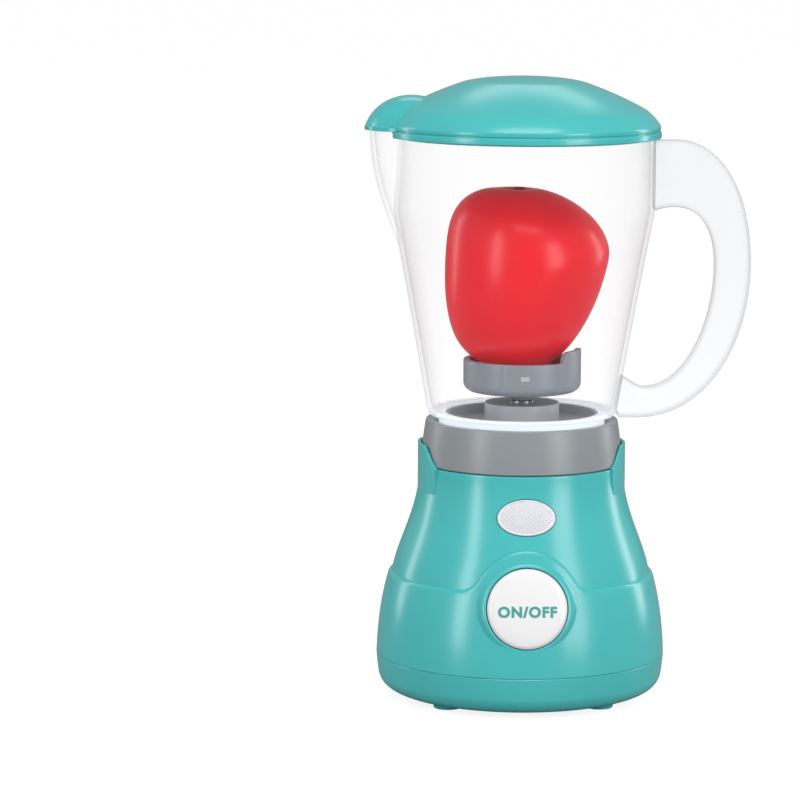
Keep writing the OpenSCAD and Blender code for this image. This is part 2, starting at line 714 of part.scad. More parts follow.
module switch_screws() color(steel) on_button()
  at_each([for (x = sides) [x * post_at[0], post_at[1]]]) screw(bracket_z - bracket_t, 7);

// ---------- lamp ----------

module lamp_lens() color("#f1eff3") on_lens() {
  intersection() {
    translate([0, 0, lens_flange_z - 0.1]) linear_extrude(12) polygon(oval(lens_w, lens_h));
    translate([0, 0, 1.2 - lens_ball]) sphere(r = lens_ball);
  }
  translate([0, 0, lens_end]) linear_extrude(lens_flange_z - lens_end)
    polygon(oval(lens_w + 2.4, lens_h + 2.4));
}

module led_lamp() color("#f6f2da") on_lens() {
  translate([0, 0, led_board_z]) cylinder(r = led_r, h = 6);
  translate([0, 0, led_board_z]) cylinder(r = led_r + 0.4, h = 1);
  intersection() {
    translate([0, 0, led_board_z + 6]) sphere(r = led_r);
    translate([-5, -5, led_board_z + 6]) cube([10, 10, led_r]);
  }
}

module led_board() color("#2f7d4f") on_lens() difference() {
  translate([-led_post_x - 3, -4.5, led_board_z - led_board_t]) cube([2 * led_post_x + 6, 9, led_board_t]);
  at_each([for (x = sides) [x * led_post_x, 0]]) rod(screw_r, led_board_z - led_board_t - cut, 5);
}

module led_screws() color(steel) on_lens()
  at_each([for (x = sides) [x * led_post_x, 0]]) screw(led_board_z - led_board_t, 6, screw_r - 0.3);

// ---------- motor and gears ----------

// Outline of the motor, round with two flats, about its own axis
module motor_shape(z, h, grow_by = 0) {
  intersection() {
    rod(motor_w / 2 + grow_by, z, h);
    block(motor_w + 10, motor_t + 2 * grow_by, h, [0, 0, z]);
  }
}
module at_motor() {
  translate([0, axle_gap, 0]) children();
}

module gearbox_plate() color("#d9dcdc") difference() {
  union() {
    translate([-pillar_x - pillar_edge, pillar_y[0] - pillar_edge, box_top - box_t])
      cube([2 * (pillar_x + pillar_edge), box_back - pillar_y[0] + pillar_edge, box_t]);
    rod(shaft_r + 2.2, box_top - box_t, box_t + 2);
    at_motor() motor_shape(motor_top - 7, 8, 1.8);
    at_motor() for (x = sides) translate([x * strap_x, 0, 0]) rod(2.8, retainer_z, box_top - retainer_z);
  }
  rod(shaft_r + run_gap, spindle_foot - 0.3, 20);
  at_motor() {
    motor_shape(motor_top - 20, 20, slip);
    rod(3.5, motor_top - cut, 10);
    for (x = sides) translate([x * strap_x, 0, 0]) screw_hole(retainer_z, 8);
  }
  at_each(pillar_at) rod(screw_r + 0.2, box_top - box_t - cut, 10);
}

module gearbox_screws() color(steel) at_each(pillar_at) screw(box_top - box_t, 8.5);

module motor_can() color(steel) at_motor() difference() {
  union() {
    motor_shape(motor_z, motor_l);
    rod(3, motor_top - 0.1, 1.7);
  }
  rod(motor_t / 2 - 0.8, motor_z - cut, motor_l - 1 + cut);
  rod(rotor_r + run_gap, motor_z, motor_l + 5);
}

module motor_end_cap() color("#e9e6da") at_motor() difference() {
  motor_shape(motor_z - cap_h, cap_h);
  rod(rotor_r + run_gap, motor_z - 3, 10);
}

module motor_rotor() color(steel) at_motor() {
  rod(rotor_r, motor_z - 2.5, gear_z + gear_w + 1.4 - motor_z + 2.5);
  for (a = [0:120:240]) rotate(a) intersection() {
    rod(motor_t / 2 - 1.3, motor_z + 3, motor_l - 7);
    union() {
      block(1.5, 20, motor_l, [0, 10.4, motor_z]);
      difference() {
        block(9, 20, motor_l, [0, 12, motor_z]);
        rod(motor_t / 2 - 2.4, motor_z - cut, motor_l + 2 * cut);
      }
    }
  }
}

module motor_pinion() color("#f0efe6") at_motor() difference() {
  translate([0, 0, gear_z - 1])
    gear(pinion_teeth, gear_m, gear_w + 2, 90 + 180 / pinion_teeth * (1 - pinion_teeth % 2));
  rod(rotor_r, gear_z - 5, 20);
}

module motor_retainer() color("#d9dcdc") at_motor() difference() {
  block(2 * strap_x + 8, 9, retainer_t, [0, 0, retainer_z - retainer_t]);
  for (x = sides) translate([x * strap_x, 0, 0]) rod(screw_r + 0.2, retainer_z - retainer_t - cut, 5);
}

module motor_screws() color(steel) at_motor() for (x = sides) translate([x * strap_x, 0, 0])
  screw(retainer_z - retainer_t, 9);

module spindle_bush() color(brass) ring(bush_r, shaft_r + run_gap, bush_z, socket_z - bush_z);

module spindle() color(steel) rod(shaft_r, spindle_foot, dog_z + dog_disc - spindle_foot);

// One of the gear's teeth points along the line between the two axes, into a gap of the pinion
module spindle_gear() color("#f0efe6") difference() {
  union() {
    translate([0, 0, gear_z]) gear(gear_teeth, gear_m, gear_w, 90);
    rod(shaft_r + 2.5, gear_z - 1.7, gear_w + 4.2);
  }
  rod(shaft_r, gear_z - 5, 20);
}

// Half of the claw coupling: a disc, and three lugs that stand on it or hang from it
module claw(z, lugs_z, turn) {
  rod(dog_r, z, dog_disc);
  for (a = [0:120:240]) rotate(a + turn) intersection() {
    ring(dog_r - 0.4, dog_in, lugs_z, dog_lug + 1);
    translate([0, 0, lugs_z]) linear_extrude(dog_lug + 1) polygon([[0, 0],
      20 * [cos(dog_turn / 2), -sin(dog_turn / 2)], 20 * [cos(dog_turn / 2), sin(dog_turn / 2)]]);
  }
}

module drive_dog() color("#3a3d42") difference() {
  claw(dog_z, dog_z + dog_disc - 1, 0);
  rod(shaft_r, dog_z - cut, dog_disc + cut);
}

// ---------- wiring ----------

switch_back = [0, -button_y - switch_low * cos(button_tilt) + 1, button_z + switch_low * sin(button_tilt)];
led_low = led_board_z - led_board_t - 0.3;
led_back = [0, -lens_y - led_low * cos(lens_tilt), lens_z + led_low * sin(lens_tilt)];
bay_out = bay_top + bay_wall;
cap_out = [0, axle_gap, retainer_z];

module wiring() {
  routes = [
    [[-bay_x + 4, 0, bay_out + 0.1], [-25, -4, 28], [-18, -16, 34], [-8, -24, 38],
      switch_back + [-2.5, 0.8, 0.5]],
    [switch_back + [2.5, 0.8, 0.5], [8, -22, 36], [12, -8, 34], [11, 6, 37], cap_out + [7, -6, -0.7]],
    [[bay_x - 4, 0, bay_out + 0.1], [24, 4, 26], [10, 10, 30], [-6, 9, 34], cap_out + [-7, -6, -0.7]],
    [switch_back + [0, 1, 2.5], [2, -25, 48], [3, -23, 57], led_back + [2, 0.2, -2.5]]];
  inks = ["#c8372f", "#2b2b2e", "#2b2b2e", "#d8b13a"];
  for (i = [0:3]) color(inks[i]) tube(smooth_route(routes[i], 4), 0.6);
}

// Rounded route through hand-set points
function smooth_route(p, n) = concat([for (i = [0:len(p) - 2])
    let (a = p[max(i - 1, 0)], b = p[i], c = p[i + 1], d = p[min(i + 2, len(p) - 1)])
    each [for (k = [0:n - 1]) bez([b, b + (c - a) / 6, c - (d - b) / 6, c], k / n)]],
  [p[len(p) - 1]]);

// ---------- jug ----------

module spout_cone(grow_by) {
  translate([-spout_x, 0, 0]) filled(back(grow(spout_side, grow_by)));
}
module jug_outer() {
  filled(concat([[jug_foot_r - corner, jug_under], [jug_foot_r - 0.6, jug_under + 0.6]], jug_side,
    [[jug_rim_r, jug_bend + 5], [jug_rim_r, jug_rim]]));
}

module jug_body() color(clear, 0.35) difference() {
  union() {
    jug_outer();
    spout_cone(0);
    ring(neck_r, neck_r - neck_t, neck_z, jug_floor - neck_z);
  }
  filled(concat([[jug_foot_r - corner - jug_t, jug_floor], [jug_foot_r - jug_t - 0.5, jug_floor + 0.8]],
    [for (p = jug_side) if (p[1] > jug_floor + 2) [p[0] - jug_t, p[1]]],
    [[jug_rim_r - jug_t, jug_bend + 5], [jug_rim_r - jug_t, jug_rim + spout_tip + cut]]));
  spout_hollow();
  rod(neck_r - neck_t, neck_z - cut, 30);
}

module spout_hollow() {
  inside = [for (p = back(spout_side)) if (p[0] > jug_t + 0.5) [p[0] - jug_t, p[1] + 0.5]];
  translate([-spout_x, 0, 0]) filled(concat(inside, [[spout_r - jug_t, jug_rim + spout_tip + cut]]));
}

function power(x, k) = sign(x) * pow(abs(x), k);
// A rounded band that runs between two curves and is d deep along Y
function band(out, in, d, n, k) = let (c = (out + in) / 2, h = (out - in) / 2)
  [for (j = [0:n - 1]) let (a = 360 * j / n, u = power(cos(a), k), v = power(sin(a), k))
    [c[0] + h[0] * u, -d / 2 * v, c[1] + h[1] * u]];

module jug_handle() color(clear, 0.5) difference() {
  last = len(handle_out) - 1;
  skinned([for (s = [0:last]) for (i = [0:handle_steps - (s < last ? 1 : 0)]) let (t = i / handle_steps)
    band(bez(handle_out[s], t), bez(handle_in[s], t), handle_d, handle_sides, handle_round)]);
  filled(concat([[jug_foot_r + 0.6, jug_under - 10], [jug_foot_r + 0.6, jug_under + 1]],
    [for (i = [0:2:len(jug_side) - 1]) jug_side[i] + [handle_gap, 0]],
    [[jug_rim_r + handle_gap, jug_bend + 5], [jug_rim_r + handle_gap, jug_rim + 5]]));
}

// Grey insert that closes the jug's bottom, with the dome that carries the wheel
module blade_carrier() color(grey) difference() {
  union() {
    ring(carrier_r, carrier_r - carrier_t, socket_z, jug_floor - 0.2 - socket_z);
    ring(neck_r, carrier_r - carrier_t, socket_z, neck_z - slip - socket_z);
    ring(carrier_r - 0.5, dome_r - 1, dish_z - dish_t, dish_t);
    rod(dome_r, socket_z + 0.6, dome_top - 0.6 - socket_z - 0.6);
    rod(dome_r - 0.6, socket_z + 0.6, dome_top - socket_z - 0.6);
    // keys that pass under the jug's neck ring and stand up outside it
    for (x = sides) intersection() {
      block(8, key_w, key_h - 1, [x * (neck_r + 3), 0, socket_z]);
      union() {
        ring(collar_in - free, neck_r + slip, socket_z, key_h);
        ring(collar_in - free, neck_r - 2, socket_z, neck_z - slip - socket_z);
      }
    }
    for (a = [0:60:300]) rotate(a + 30) translate([dome_r - 1, -0.6, dish_z - dish_t - 2.4])
      cube([carrier_r - dome_r, 1.2, 3]);
  }
  difference() {
    rod(dome_r - 2, socket_z - cut, dome_top - 2 - socket_z + cut);
    rod(bush_r + 2, driven_z + driven_hub + 0.6, 20);
  }
  rod(bush_r + 0.02, socket_z, 40);
}

module wheel_bush() color(brass)
  ring(bush_r, shaft_r + run_gap, driven_z + driven_hub + 0.6, dome_top - driven_z - driven_hub - 0.6);

module thrust_washer() color(steel) ring(hub_r + 0.6, shaft_r + run_gap, dome_top, washer_t);

module driven_dog() color("#3a3d42") difference() {
  union() {
    claw(driven_z, driven_z - dog_lug, 60);
    rod(shaft_r + 2.2, driven_z + 0.5, driven_hub - 0.5);
  }
  rod(shaft_r, driven_z - cut, 20);
}

module wheel_shaft() color(steel) rod(shaft_r, driven_z, wheel_z + 5 - driven_z);

// Cup-shaped wheel with six wall panels and three small pads, and a tall round-topped tooth on one panel
module blade_wheel() color("#8c9296") difference() {
  union() {
    rotate(180) rotate_extrude() polygon(concat([[0, wheel_z], [wheel_r - wheel_round, wheel_z]],
      [for (i = [1:6]) let (a = 15 * i)
        [wheel_r - wheel_round * (1 - sin(a)), wheel_z + wheel_round * (1 - cos(a))]],
      [[wheel_r, wheel_z + wheel_h - 0.5], [wheel_r - 0.5, wheel_z + wheel_h],
       [wheel_r - wheel_t + 0.3, wheel_z + wheel_h], [wheel_r - wheel_t, wheel_z + wheel_h - 0.4],
       [wheel_r - wheel_t, wheel_z + wheel_round], [wheel_r - wheel_t - 2, wheel_z + 2], [0, wheel_z + 2]]));
    rotate(90 + panel_turn) intersection() {
      ring(wheel_r, wheel_r - wheel_t, wheel_z + wheel_h - 1, tooth_h + 1);
      rotate([90, 0, 0]) linear_extrude(wheel_r + 1) tooth_outline();
    }
    for (a = [0:120:240]) rotate(a + panel_turn) block(vane_t, wheel_r - 1, vane_top - wheel_z - 1,
      [0, -(wheel_r - 1) / 2, wheel_z + 1]);
    for (a = [0:120:240]) rotate(a) block(3.4, wheel_t, 2.8, [0, wheel_t / 2 - wheel_r - pad_out, wheel_z + 5]);
    rod(hub_r, dome_top + washer_t + 0.1, vane_top - dome_top - washer_t - 0.1);
  }
  for (a = [0:60:300]) rotate(a + panel_turn)
    translate([0, -wheel_r - 0.25, 0]) rod(0.6, wheel_z + 4, wheel_h + tooth_h);
  rod(shaft_r, dome_top - cut, wheel_z + 5 - dome_top + cut);
}

// A tall tooth seen from outside, with round top corners
module tooth_outline() {
  w = wheel_r * sin(24);
  top = wheel_z + wheel_h + tooth_h;
  r = min(2.6, tooth_h);
  corner_pts = [for (i = [0:4]) [w - r + r * cos(22.5 * i), top - r + r * sin(22.5 * i)]];
  polygon(concat([[w, wheel_z + wheel_h - 2]], corner_pts, back([for (p = corner_pts) [-p[0], p[1]]]),
    [[-w, wheel_z + wheel_h - 2]]));
}

// ---------- lid ----------

module lid() color(teal) difference() {
  union() {
    difference() {
      filled(concat(lid_side, crown));
      // room above the jug's rim, and the inside of the dome
      rod(jug_rim_r + free, jug_rim - lip_h - cut, lip_h + cut);
      filled(concat([[lid_r - lid_t - 3.9, jug_rim - cut], [lid_r - lid_t - 3.9, jug_rim + lid_edge]],
        [for (p = lid_side) if (p[1] > jug_rim + 0.5 * lid_h) [p[0] - lid_t - 1.2, p[1] - lid_t]],
        [for (p = crown) if (p[0] > 1) [p[0] - 1, p[1] - lid_t - 0.8]]));
      // gap in the lip where the spout passes
      translate([-spout_x, 0, 0]) rod(spout_r + free, jug_rim - lip_h - cut, lip_h + cut + spout_tip + slip);
    }
    difference() {
      translate([-spout_x, 0, 0]) filled(hood_side);
      translate([-spout_x, 0, 0]) filled(concat(
        [[hood_r - lid_t - 2, hood_z - cut], [hood_r - lid_t - 2, hood_z + 1.4]],
        [for (p = hood_side) if (p[1] > hood_z + 3) [max(0, p[0] - lid_t - 0.6), p[1] - lid_t]]));
      rod(lid_r - lid_t - 5, jug_rim - cut, hood_h + 20);
    }
    ring(jug_rim_r - jug_t - free, jug_rim_r - jug_t - free - lid_t, jug_rim - plug_h, plug_h + 2.5);
    ring(jug_rim_r + 0.3, jug_rim_r - jug_t - free - lid_t, jug_rim + spout_tip + slip, 1.2);
  }
}

// ---------- play pepper ----------

// One lobed ring of the pepper between its left and right curves
function pepper_ring(s, t) = let (a = pepper_u * bez(pepper_left[s], t), b = pepper_u * bez(pepper_right[s], t),
    c = (a + b) / 2, h = (b - a) / 2, top = s == 0 ? 1 - t : t)
  [for (j = [0:pepper_sides - 1]) let (w = 360 * j / pepper_sides,
      k = 1 + pepper_lobe * (0.35 + top * top) * (cos(4 * w) - 1))
    [c[0] + h[0] * cos(w) * k, 0.97 * h[0] * sin(w) * k, c[1] + h[1] * cos(w) * k]];
function pepper_rings() = concat([for (i = [1:pepper_rows]) pepper_ring(0, i / pepper_rows)],
  [for (i = [1:pepper_rows - 1]) pepper_ring(1, i / pepper_rows)],
  [[for (p = pepper_ring(1, (pepper_rows - 0.45) / pepper_rows)) p - [0, 0, dimple]]]);

module pepper_shape() {
  skinned(pepper_rings());
}
module play_pepper() color("#e22d37") translate([0, 0, pepper_z]) difference() {
  pepper_shape();
  translate([0, 0, pepper_h / 2]) scale(1 - pepper_wall) translate([0, 0, -pepper_h / 2]) pepper_shape();
  translate([-0.5, 0, -cut]) cylinder(r = 1.2, h = 8);
  translate([-3 * pepper_u, 0, stalk_z - pepper_z - cut]) cylinder(r = stalk_r + 0.02, h = 10);
}

module pepper_stalk() color("#a8212a") translate([-3 * pepper_u, 0, stalk_z]) {
  cylinder(r = stalk_r, h = stalk_h);
  translate([0, 0, stalk_h]) cylinder(r1 = stalk_r, r2 = stalk_r - 0.8, h = 0.8);
}

base_plate();
lower_housing();
upper_housing();
jug_socket();
socket_screws();
housing_screws();
battery_door();
door_screw();
battery_cells();
battery_contacts();
battery_springs();
power_button();
button_spring();
switch_plunger();
push_switch();
switch_bracket();
switch_screws();
lamp_lens();
led_lamp();
led_board();
led_screws();
gearbox_plate();
gearbox_screws();
motor_can();
motor_end_cap();
motor_rotor();
motor_pinion();
motor_retainer();
motor_screws();
spindle_bush();
spindle();
spindle_gear();
drive_dog();
wiring();
jug_body();
jug_handle();
blade_carrier();
wheel_bush();
blade_wheel();
wheel_shaft();
driven_dog();
thrust_washer();
lid();
play_pepper();
pepper_stalk();
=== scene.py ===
import bpy, bmesh, math
from mathutils import Matrix, Vector, noise


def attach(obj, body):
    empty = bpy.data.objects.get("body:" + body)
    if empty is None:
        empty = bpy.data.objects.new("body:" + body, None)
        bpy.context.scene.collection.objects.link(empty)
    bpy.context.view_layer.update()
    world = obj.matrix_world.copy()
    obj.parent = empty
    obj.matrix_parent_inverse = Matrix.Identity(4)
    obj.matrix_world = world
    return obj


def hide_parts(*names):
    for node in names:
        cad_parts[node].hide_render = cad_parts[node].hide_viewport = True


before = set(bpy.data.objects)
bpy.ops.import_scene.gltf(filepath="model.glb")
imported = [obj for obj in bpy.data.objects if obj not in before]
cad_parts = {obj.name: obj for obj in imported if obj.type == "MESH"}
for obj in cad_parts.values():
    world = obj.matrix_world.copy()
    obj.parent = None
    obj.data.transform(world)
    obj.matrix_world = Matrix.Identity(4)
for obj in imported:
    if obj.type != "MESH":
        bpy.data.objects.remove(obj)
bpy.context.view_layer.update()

# Sizes are in millimetres, and go to metres when a piece is made.
# +Z is up, the button faces -Y, the handle points to +X and the spout to -X.
mm = 0.001
body = {
    "footH": 1.4, "baseR": 55.8, "seam": 16.5, "seat": 38.4, "shoulder": 48.4, "shoulderR": 49.9,
    "rim": 90.6, "rimR": 39.2, "wall": 2.0,
    "socketFloor": 97.0, "collarTop": 107.5,
    "jugUnder": 109.2, "jugFloor": 110.3, "jugFootR": 36.6, "jugBend": 187.0, "jugRim": 217.2,
    "jugRimR": 50.4, "spoutX": 43.0, "spoutR": 16.0, "spoutTop": 218.6,
}
corners = [(x, y) for x in (-1, 1) for y in (-1, 1)]

# outlines


def bezier(a, b, c, d, count):
    points = []
    for i in range(count + 1):
        t = i / count
        u = 1 - t
        points.append(tuple(u * u * u * p + 3 * t * u * u * q + 3 * t * t * u * r + t * t * t * s
                            for p, q, r, s in zip(a, b, c, d)))
    return points


def radiusAt(outline, z):
    for (r0, z0), (r1, z1) in zip(outline, outline[1:]):
        if z0 <= z <= z1:
            return r0 + (r1 - r0) * (z - z0) / max(z1 - z0, 1e-9)
    return outline[0][0] if z < outline[0][1] else outline[-1][0]


def smoothStep(low, high, x):
    t = min(max((x - low) / (high - low), 0), 1)
    return t * t * (3 - 2 * t)


# Profiles from the axis outwards: the two housings' walls, the jug's side and the spout's
upperOutline = [(51.5, body["seat"])] + bezier((body["shoulderR"], body["shoulder"]), (47.6, 61.06),
                                               (39.4, 72.03), (body["rimR"], body["rim"]), 40)
apronOutline = bezier((body["baseR"], body["seam"]), (55.4, 27.98), (54.0, 38.83),
                      (51.0, body["shoulder"]), 32)
jugOutline = bezier((body["jugFootR"], 111.2), (40.6, 134.2), (44.6, 158.2), (50.2, body["jugBend"]), 28)
spoutOutline = bezier((2.4, 167.2), (8.0, 184.7), (15.4, 196.2), (body["spoutR"], body["spoutTop"]), 20)

# mesh helpers


def chain(bm, points, close=True):
    # a wire of edges in the XZ plane, ready to be spun
    verts = [bm.verts.new((p[0], 0, p[1])) for p in points]
    edges = [bm.edges.new(pair) for pair in zip(verts, verts[1:])]
    if close:
        edges.append(bm.edges.new((verts[-1], verts[0])))
    return verts + edges


def spun(points, steps=192, close=True):
    bm = bmesh.new()
    geom = chain(bm, points, close)
    bmesh.ops.spin(bm, geom=geom, cent=(0, 0, 0), axis=(0, 0, 1), angle=2 * math.pi, steps=steps,
                   use_merge=True)
    bmesh.ops.remove_doubles(bm, verts=bm.verts, dist=0.0005)
    bmesh.ops.dissolve_degenerate(bm, edges=bm.edges, dist=0.0002)
    bmesh.ops.recalc_face_normals(bm, faces=bm.faces)
    return bm


def softenEdges(bm, width, angle=35, segments=3, where=None):
    # rounds the edges that are sharper than angle
    sharp = [e for e in bm.edges if len(e.link_faces) == 2 and e.calc_face_angle(0) > math.radians(angle)
             and (where is None or where(e.verts[0].co, e.verts[1].co))]
    bmesh.ops.bevel(bm, geom=sharp, offset=width, offset_type="OFFSET", segments=segments, profile=0.5,
                    affect="EDGES", material=-1, clamp_overlap=True)
    return bm


def box(x, y, z, at):
    bm = bmesh.new()
    bmesh.ops.create_cube(bm, size=1)
    bmesh.ops.scale(bm, vec=(x, y, z), verts=bm.verts)
    bmesh.ops.translate(bm, vec=(at[0], at[1], at[2] + z / 2), verts=bm.verts)
    return bm


def rod(r, low, high, at=(0, 0), sides=64, topR=None):
    bm = bmesh.new()
    bmesh.ops.create_cone(bm, cap_ends=True, segments=sides, radius1=r, radius2=r if topR is None else topR,
                          depth=high - low)
    bmesh.ops.translate(bm, vec=(at[0], at[1], (low + high) / 2), verts=bm.verts)
    return bm


def merged(*parts):
    # one bmesh that holds the others side by side
    whole = bmesh.new()
    for part in parts:
        mesh = bpy.data.meshes.new("part")
        part.to_mesh(mesh)
        whole.from_mesh(mesh)
        bpy.data.meshes.remove(mesh)
        part.free()
    return whole


def placed(bm, matrix):
    bmesh.ops.transform(bm, matrix=matrix, verts=bm.verts)
    return bm


def turned(bm, degrees):
    matrix = Matrix.Rotation(math.radians(degrees), 3, "Z")
    bmesh.ops.rotate(bm, verts=bm.verts, cent=(0, 0, 0), matrix=matrix)
    return bm


def atSpout(bm):
    bmesh.ops.translate(bm, vec=(-body["spoutX"], 0, 0), verts=bm.verts)
    return bm


def nextRing(bm, ring):
    # grows a new ring of vertices out of the last one
    edges = [e for e in bm.edges if all(v in ring for v in e.verts)]
    made = bmesh.ops.extrude_edge_only(bm, edges=edges)
    return [g for g in made["geom"] if isinstance(g, bmesh.types.BMVert)]


def cutBy(bm, cutter, how="DIFFERENCE"):
    # runs a Boolean modifier on two throwaway objects and reads the result back
    objects = []
    for part in (bm, cutter):
        mesh = bpy.data.meshes.new("carving")
        part.to_mesh(mesh)
        part.free()
        objects.append(bpy.data.objects.new("carving", mesh))
        bpy.context.scene.collection.objects.link(objects[-1])
    carve = objects[0].modifiers.new("carve", "BOOLEAN")
    carve.operation, carve.solver, carve.object = how, "EXACT", objects[1]
    bpy.context.view_layer.update()
    result = bmesh.new()
    result.from_object(objects[0], bpy.context.evaluated_depsgraph_get())
    for o in objects:
        mesh = o.data
        bpy.data.objects.remove(o)
        bpy.data.meshes.remove(mesh)
    bmesh.ops.remove_doubles(result, verts=result.verts, dist=0.0005)
    return result


def makePiece(name, bm, rides, material, replaces=(), sharpAngle=38, weighted=True):
    bmesh.ops.scale(bm, vec=(mm, mm, mm), verts=bm.verts)
    for face in bm.faces:
        face.smooth = True
    for edge in bm.edges:
        edge.smooth = not (len(edge.link_faces) == 2 and edge.calc_face_angle(0) > math.radians(sharpAngle))
    mesh = bpy.data.meshes.new(name)
    bm.to_mesh(mesh)
    bm.free()
    piece = bpy.data.objects.new(name, mesh)
    bpy.context.scene.collection.objects.link(piece)
    mesh.materials.append(material)
    if weighted:
        weights = piece.modifiers.new("even shading", "WEIGHTED_NORMAL")
        weights.keep_sharp = True
    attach(piece, rides)
    if replaces:
        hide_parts(*replaces)
    print("made", name, len(mesh.polygons), "faces")
    return piece


# materials


def linear(hexColour):
    # sRGB hex to the linear values that shaders read
    parts = [int(hexColour[i:i + 2], 16) / 255 for i in (1, 3, 5)]
    return tuple(c / 12.92 if c <= 0.04045 else ((c + 0.055) / 1.055) ** 2.4 for c in parts) + (1,)


def addNode(tree, kind, settings=None, links=None):
    made = tree.nodes.new("ShaderNode" + kind)
    for key, value in (settings or {}).items():
        if isinstance(key, int) or key in made.inputs:
            made.inputs[key].default_value = value
        else:
            setattr(made, key, value)
    for key, source in (links or {}).items():
        tree.links.new(source, made.inputs[key])
    return made


def newMaterial(name, settings):
    material = bpy.data.materials.new(name)
    material.use_nodes = True
    tree = material.node_tree
    tree.nodes.clear()
    shader = addNode(tree, "BsdfPrincipled", settings)
    addNode(tree, "OutputMaterial", links={"Surface": shader.outputs["BSDF"]})
    return material, tree, shader


def tinted(tree, shader, factor, colour, shade):
    tint = addNode(tree, "Mix", {"data_type": "RGBA"}, {"Factor": factor})
    tint.inputs[6].default_value = linear(colour)
    tint.inputs[7].default_value = linear(shade)
    tree.links.new(tint.outputs[2], shader.inputs["Base Color"])


def mouldedSkin(tree, shader, colour, shade, grain, depth, roughLow, roughHigh):
    # a slow drift of the colour, and the fine grain that a mould leaves in the gloss and the surface
    place = addNode(tree, "TexCoord").outputs["Object"]
    drift = addNode(tree, "TexNoise", {"Scale": 1 / (45 * mm), "Detail": 2.0}, {"Vector": place})
    tinted(tree, shader, drift.outputs["Fac"], colour, shade)
    fine = addNode(tree, "TexNoise", {"Scale": 1 / (grain * mm), "Detail": 3.0}, {"Vector": place})
    gloss = addNode(tree, "MapRange", {"To Min": roughLow, "To Max": roughHigh},
                    {"Value": fine.outputs["Fac"]})
    tree.links.new(gloss.outputs["Result"], shader.inputs["Roughness"])
    bump = addNode(tree, "Bump", {"Strength": 0.25, "Distance": depth * mm}, {"Height": fine.outputs["Fac"]})
    tree.links.new(bump.outputs["Normal"], shader.inputs["Normal"])


# Injection-moulded ABS: opaque, evenly dyed, with soft-edged highlights. Teal on the housings and the lid
tealAbs, tree, shader = newMaterial("tealAbs", {"IOR": 1.54})
mouldedSkin(tree, shader, "#4AC2C3", "#51C8C8", 1.2, 0.006, 0.2, 0.27)

# Mid grey with a duller, broader gleam, on the collar
greyAbs, tree, shader = newMaterial("greyAbs", {"IOR": 1.54})
mouldedSkin(tree, shader, "#92979B", "#999EA2", 1.0, 0.006, 0.3, 0.38)

# Painted light: a lighter copy of the collar's grey, which lifts the jug's dish out of the shade it lies in
# and paints the light patches on the blade wheel's pads
litGreyAbs, tree, shader = newMaterial("litGreyAbs", {"IOR": 1.54})
mouldedSkin(tree, shader, "#BBC0C5", "#C2C7CC", 1.0, 0.006, 0.3, 0.38)

# A cooler, nearly matt grey on the blade wheel
darkGreyAbs, tree, shader = newMaterial("darkGreyAbs", {"IOR": 1.54})
mouldedSkin(tree, shader, "#9196A0", "#999EA7", 1.0, 0.006, 0.32, 0.42)

# The button's clean glossy white
whiteAbs, tree, shader = newMaterial("whiteAbs", {"IOR": 1.54})
mouldedSkin(tree, shader, "#FDFCFD", "#FEFEFE", 1.2, 0.005, 0.2, 0.28)

# Undyed nylon gears and brackets: waxy and slightly yellow
naturalNylon, tree, shader = newMaterial("naturalNylon", {"IOR": 1.53})
mouldedSkin(tree, shader, "#E4E2D8", "#EBE9E0", 0.8, 0.01, 0.4, 0.5)

# Slippery black engineering plastic: a low sheen on the claws and the switch
darkAcetal, tree, shader = newMaterial("darkAcetal", {"IOR": 1.48})
mouldedSkin(tree, shader, "#2E3135", "#383B40", 0.8, 0.008, 0.35, 0.45)

# Blow-moulded soft vinyl: a strong even red with a long soft gloss.
# The skin is thin and hollow. Its faint red glow is painted light, which lifts the pepper's top and lower
# side out of the shade of the lid and the jug.
redVinyl, tree, shader = newMaterial("redVinyl", {
    "IOR": 1.5, "Specular IOR Level": 0.35, "Emission Color": linear("#F53A44"), "Emission Strength": 0.2})
mouldedSkin(tree, shader, "#E9081E", "#EC222C", 2.0, 0.008, 0.26, 0.32)

# The stalk's rougher, darker red
stalkVinyl, tree, shader = newMaterial("stalkVinyl", {"IOR": 1.53})
mouldedSkin(tree, shader, "#8E1A22", "#A6262C", 0.7, 0.05, 0.4, 0.5)


def edgeVeil(tree, blend, power, low, high):
    # clear plastic shows most where it turns away from the eye
    facing = addNode(tree, "LayerWeight", {"Blend": blend})
    curved = addNode(tree, "Math", {"operation": "POWER", 1: power}, {0: facing.outputs["Facing"]})
    veil = addNode(tree, "MapRange", {"To Min": low, "To Max": high}, {"Value": curved.outputs["Value"]})
    return veil.outputs["Result"]


# Clear polystyrene: almost no body colour, so its edges and its gloss show. The jug's foot and neck ring are
# milky. Their faint glow is painted light, which lifts the neck ring out of the shade under the jug's foot.
clearStyrene, tree, shader = newMaterial("clearStyrene", {
    "Base Color": linear("#EFF4F9"), "Roughness": 0.06, "IOR": 1.45, "Specular IOR Level": 0.35,
    "Emission Color": linear("#F4F8FF")})
frost = {"low": 110.2, "high": 111.4, "neckR": 32.4, "footR": 33.6, "neck": 0.95, "foot": 0.85, "glow": 0.4}
place = addNode(tree, "TexCoord").outputs["Object"]
height = addNode(tree, "SeparateXYZ", links={"Vector": place})
milk = addNode(tree, "MapRange", {"From Min": frost["low"] * mm, "From Max": frost["high"] * mm,
                                  "To Min": 1.0, "To Max": 0.0}, {"Value": height.outputs["Z"]})
flat = addNode(tree, "VectorMath", {"operation": "MULTIPLY", 1: (1, 1, 0)}, {0: place})
reach = addNode(tree, "VectorMath", {"operation": "LENGTH"}, {0: flat.outputs["Vector"]})
neck = addNode(tree, "MapRange", {"From Min": frost["neckR"] * mm, "From Max": frost["footR"] * mm,
                                  "To Min": frost["neck"], "To Max": frost["foot"]},
               {"Value": reach.outputs["Value"]})
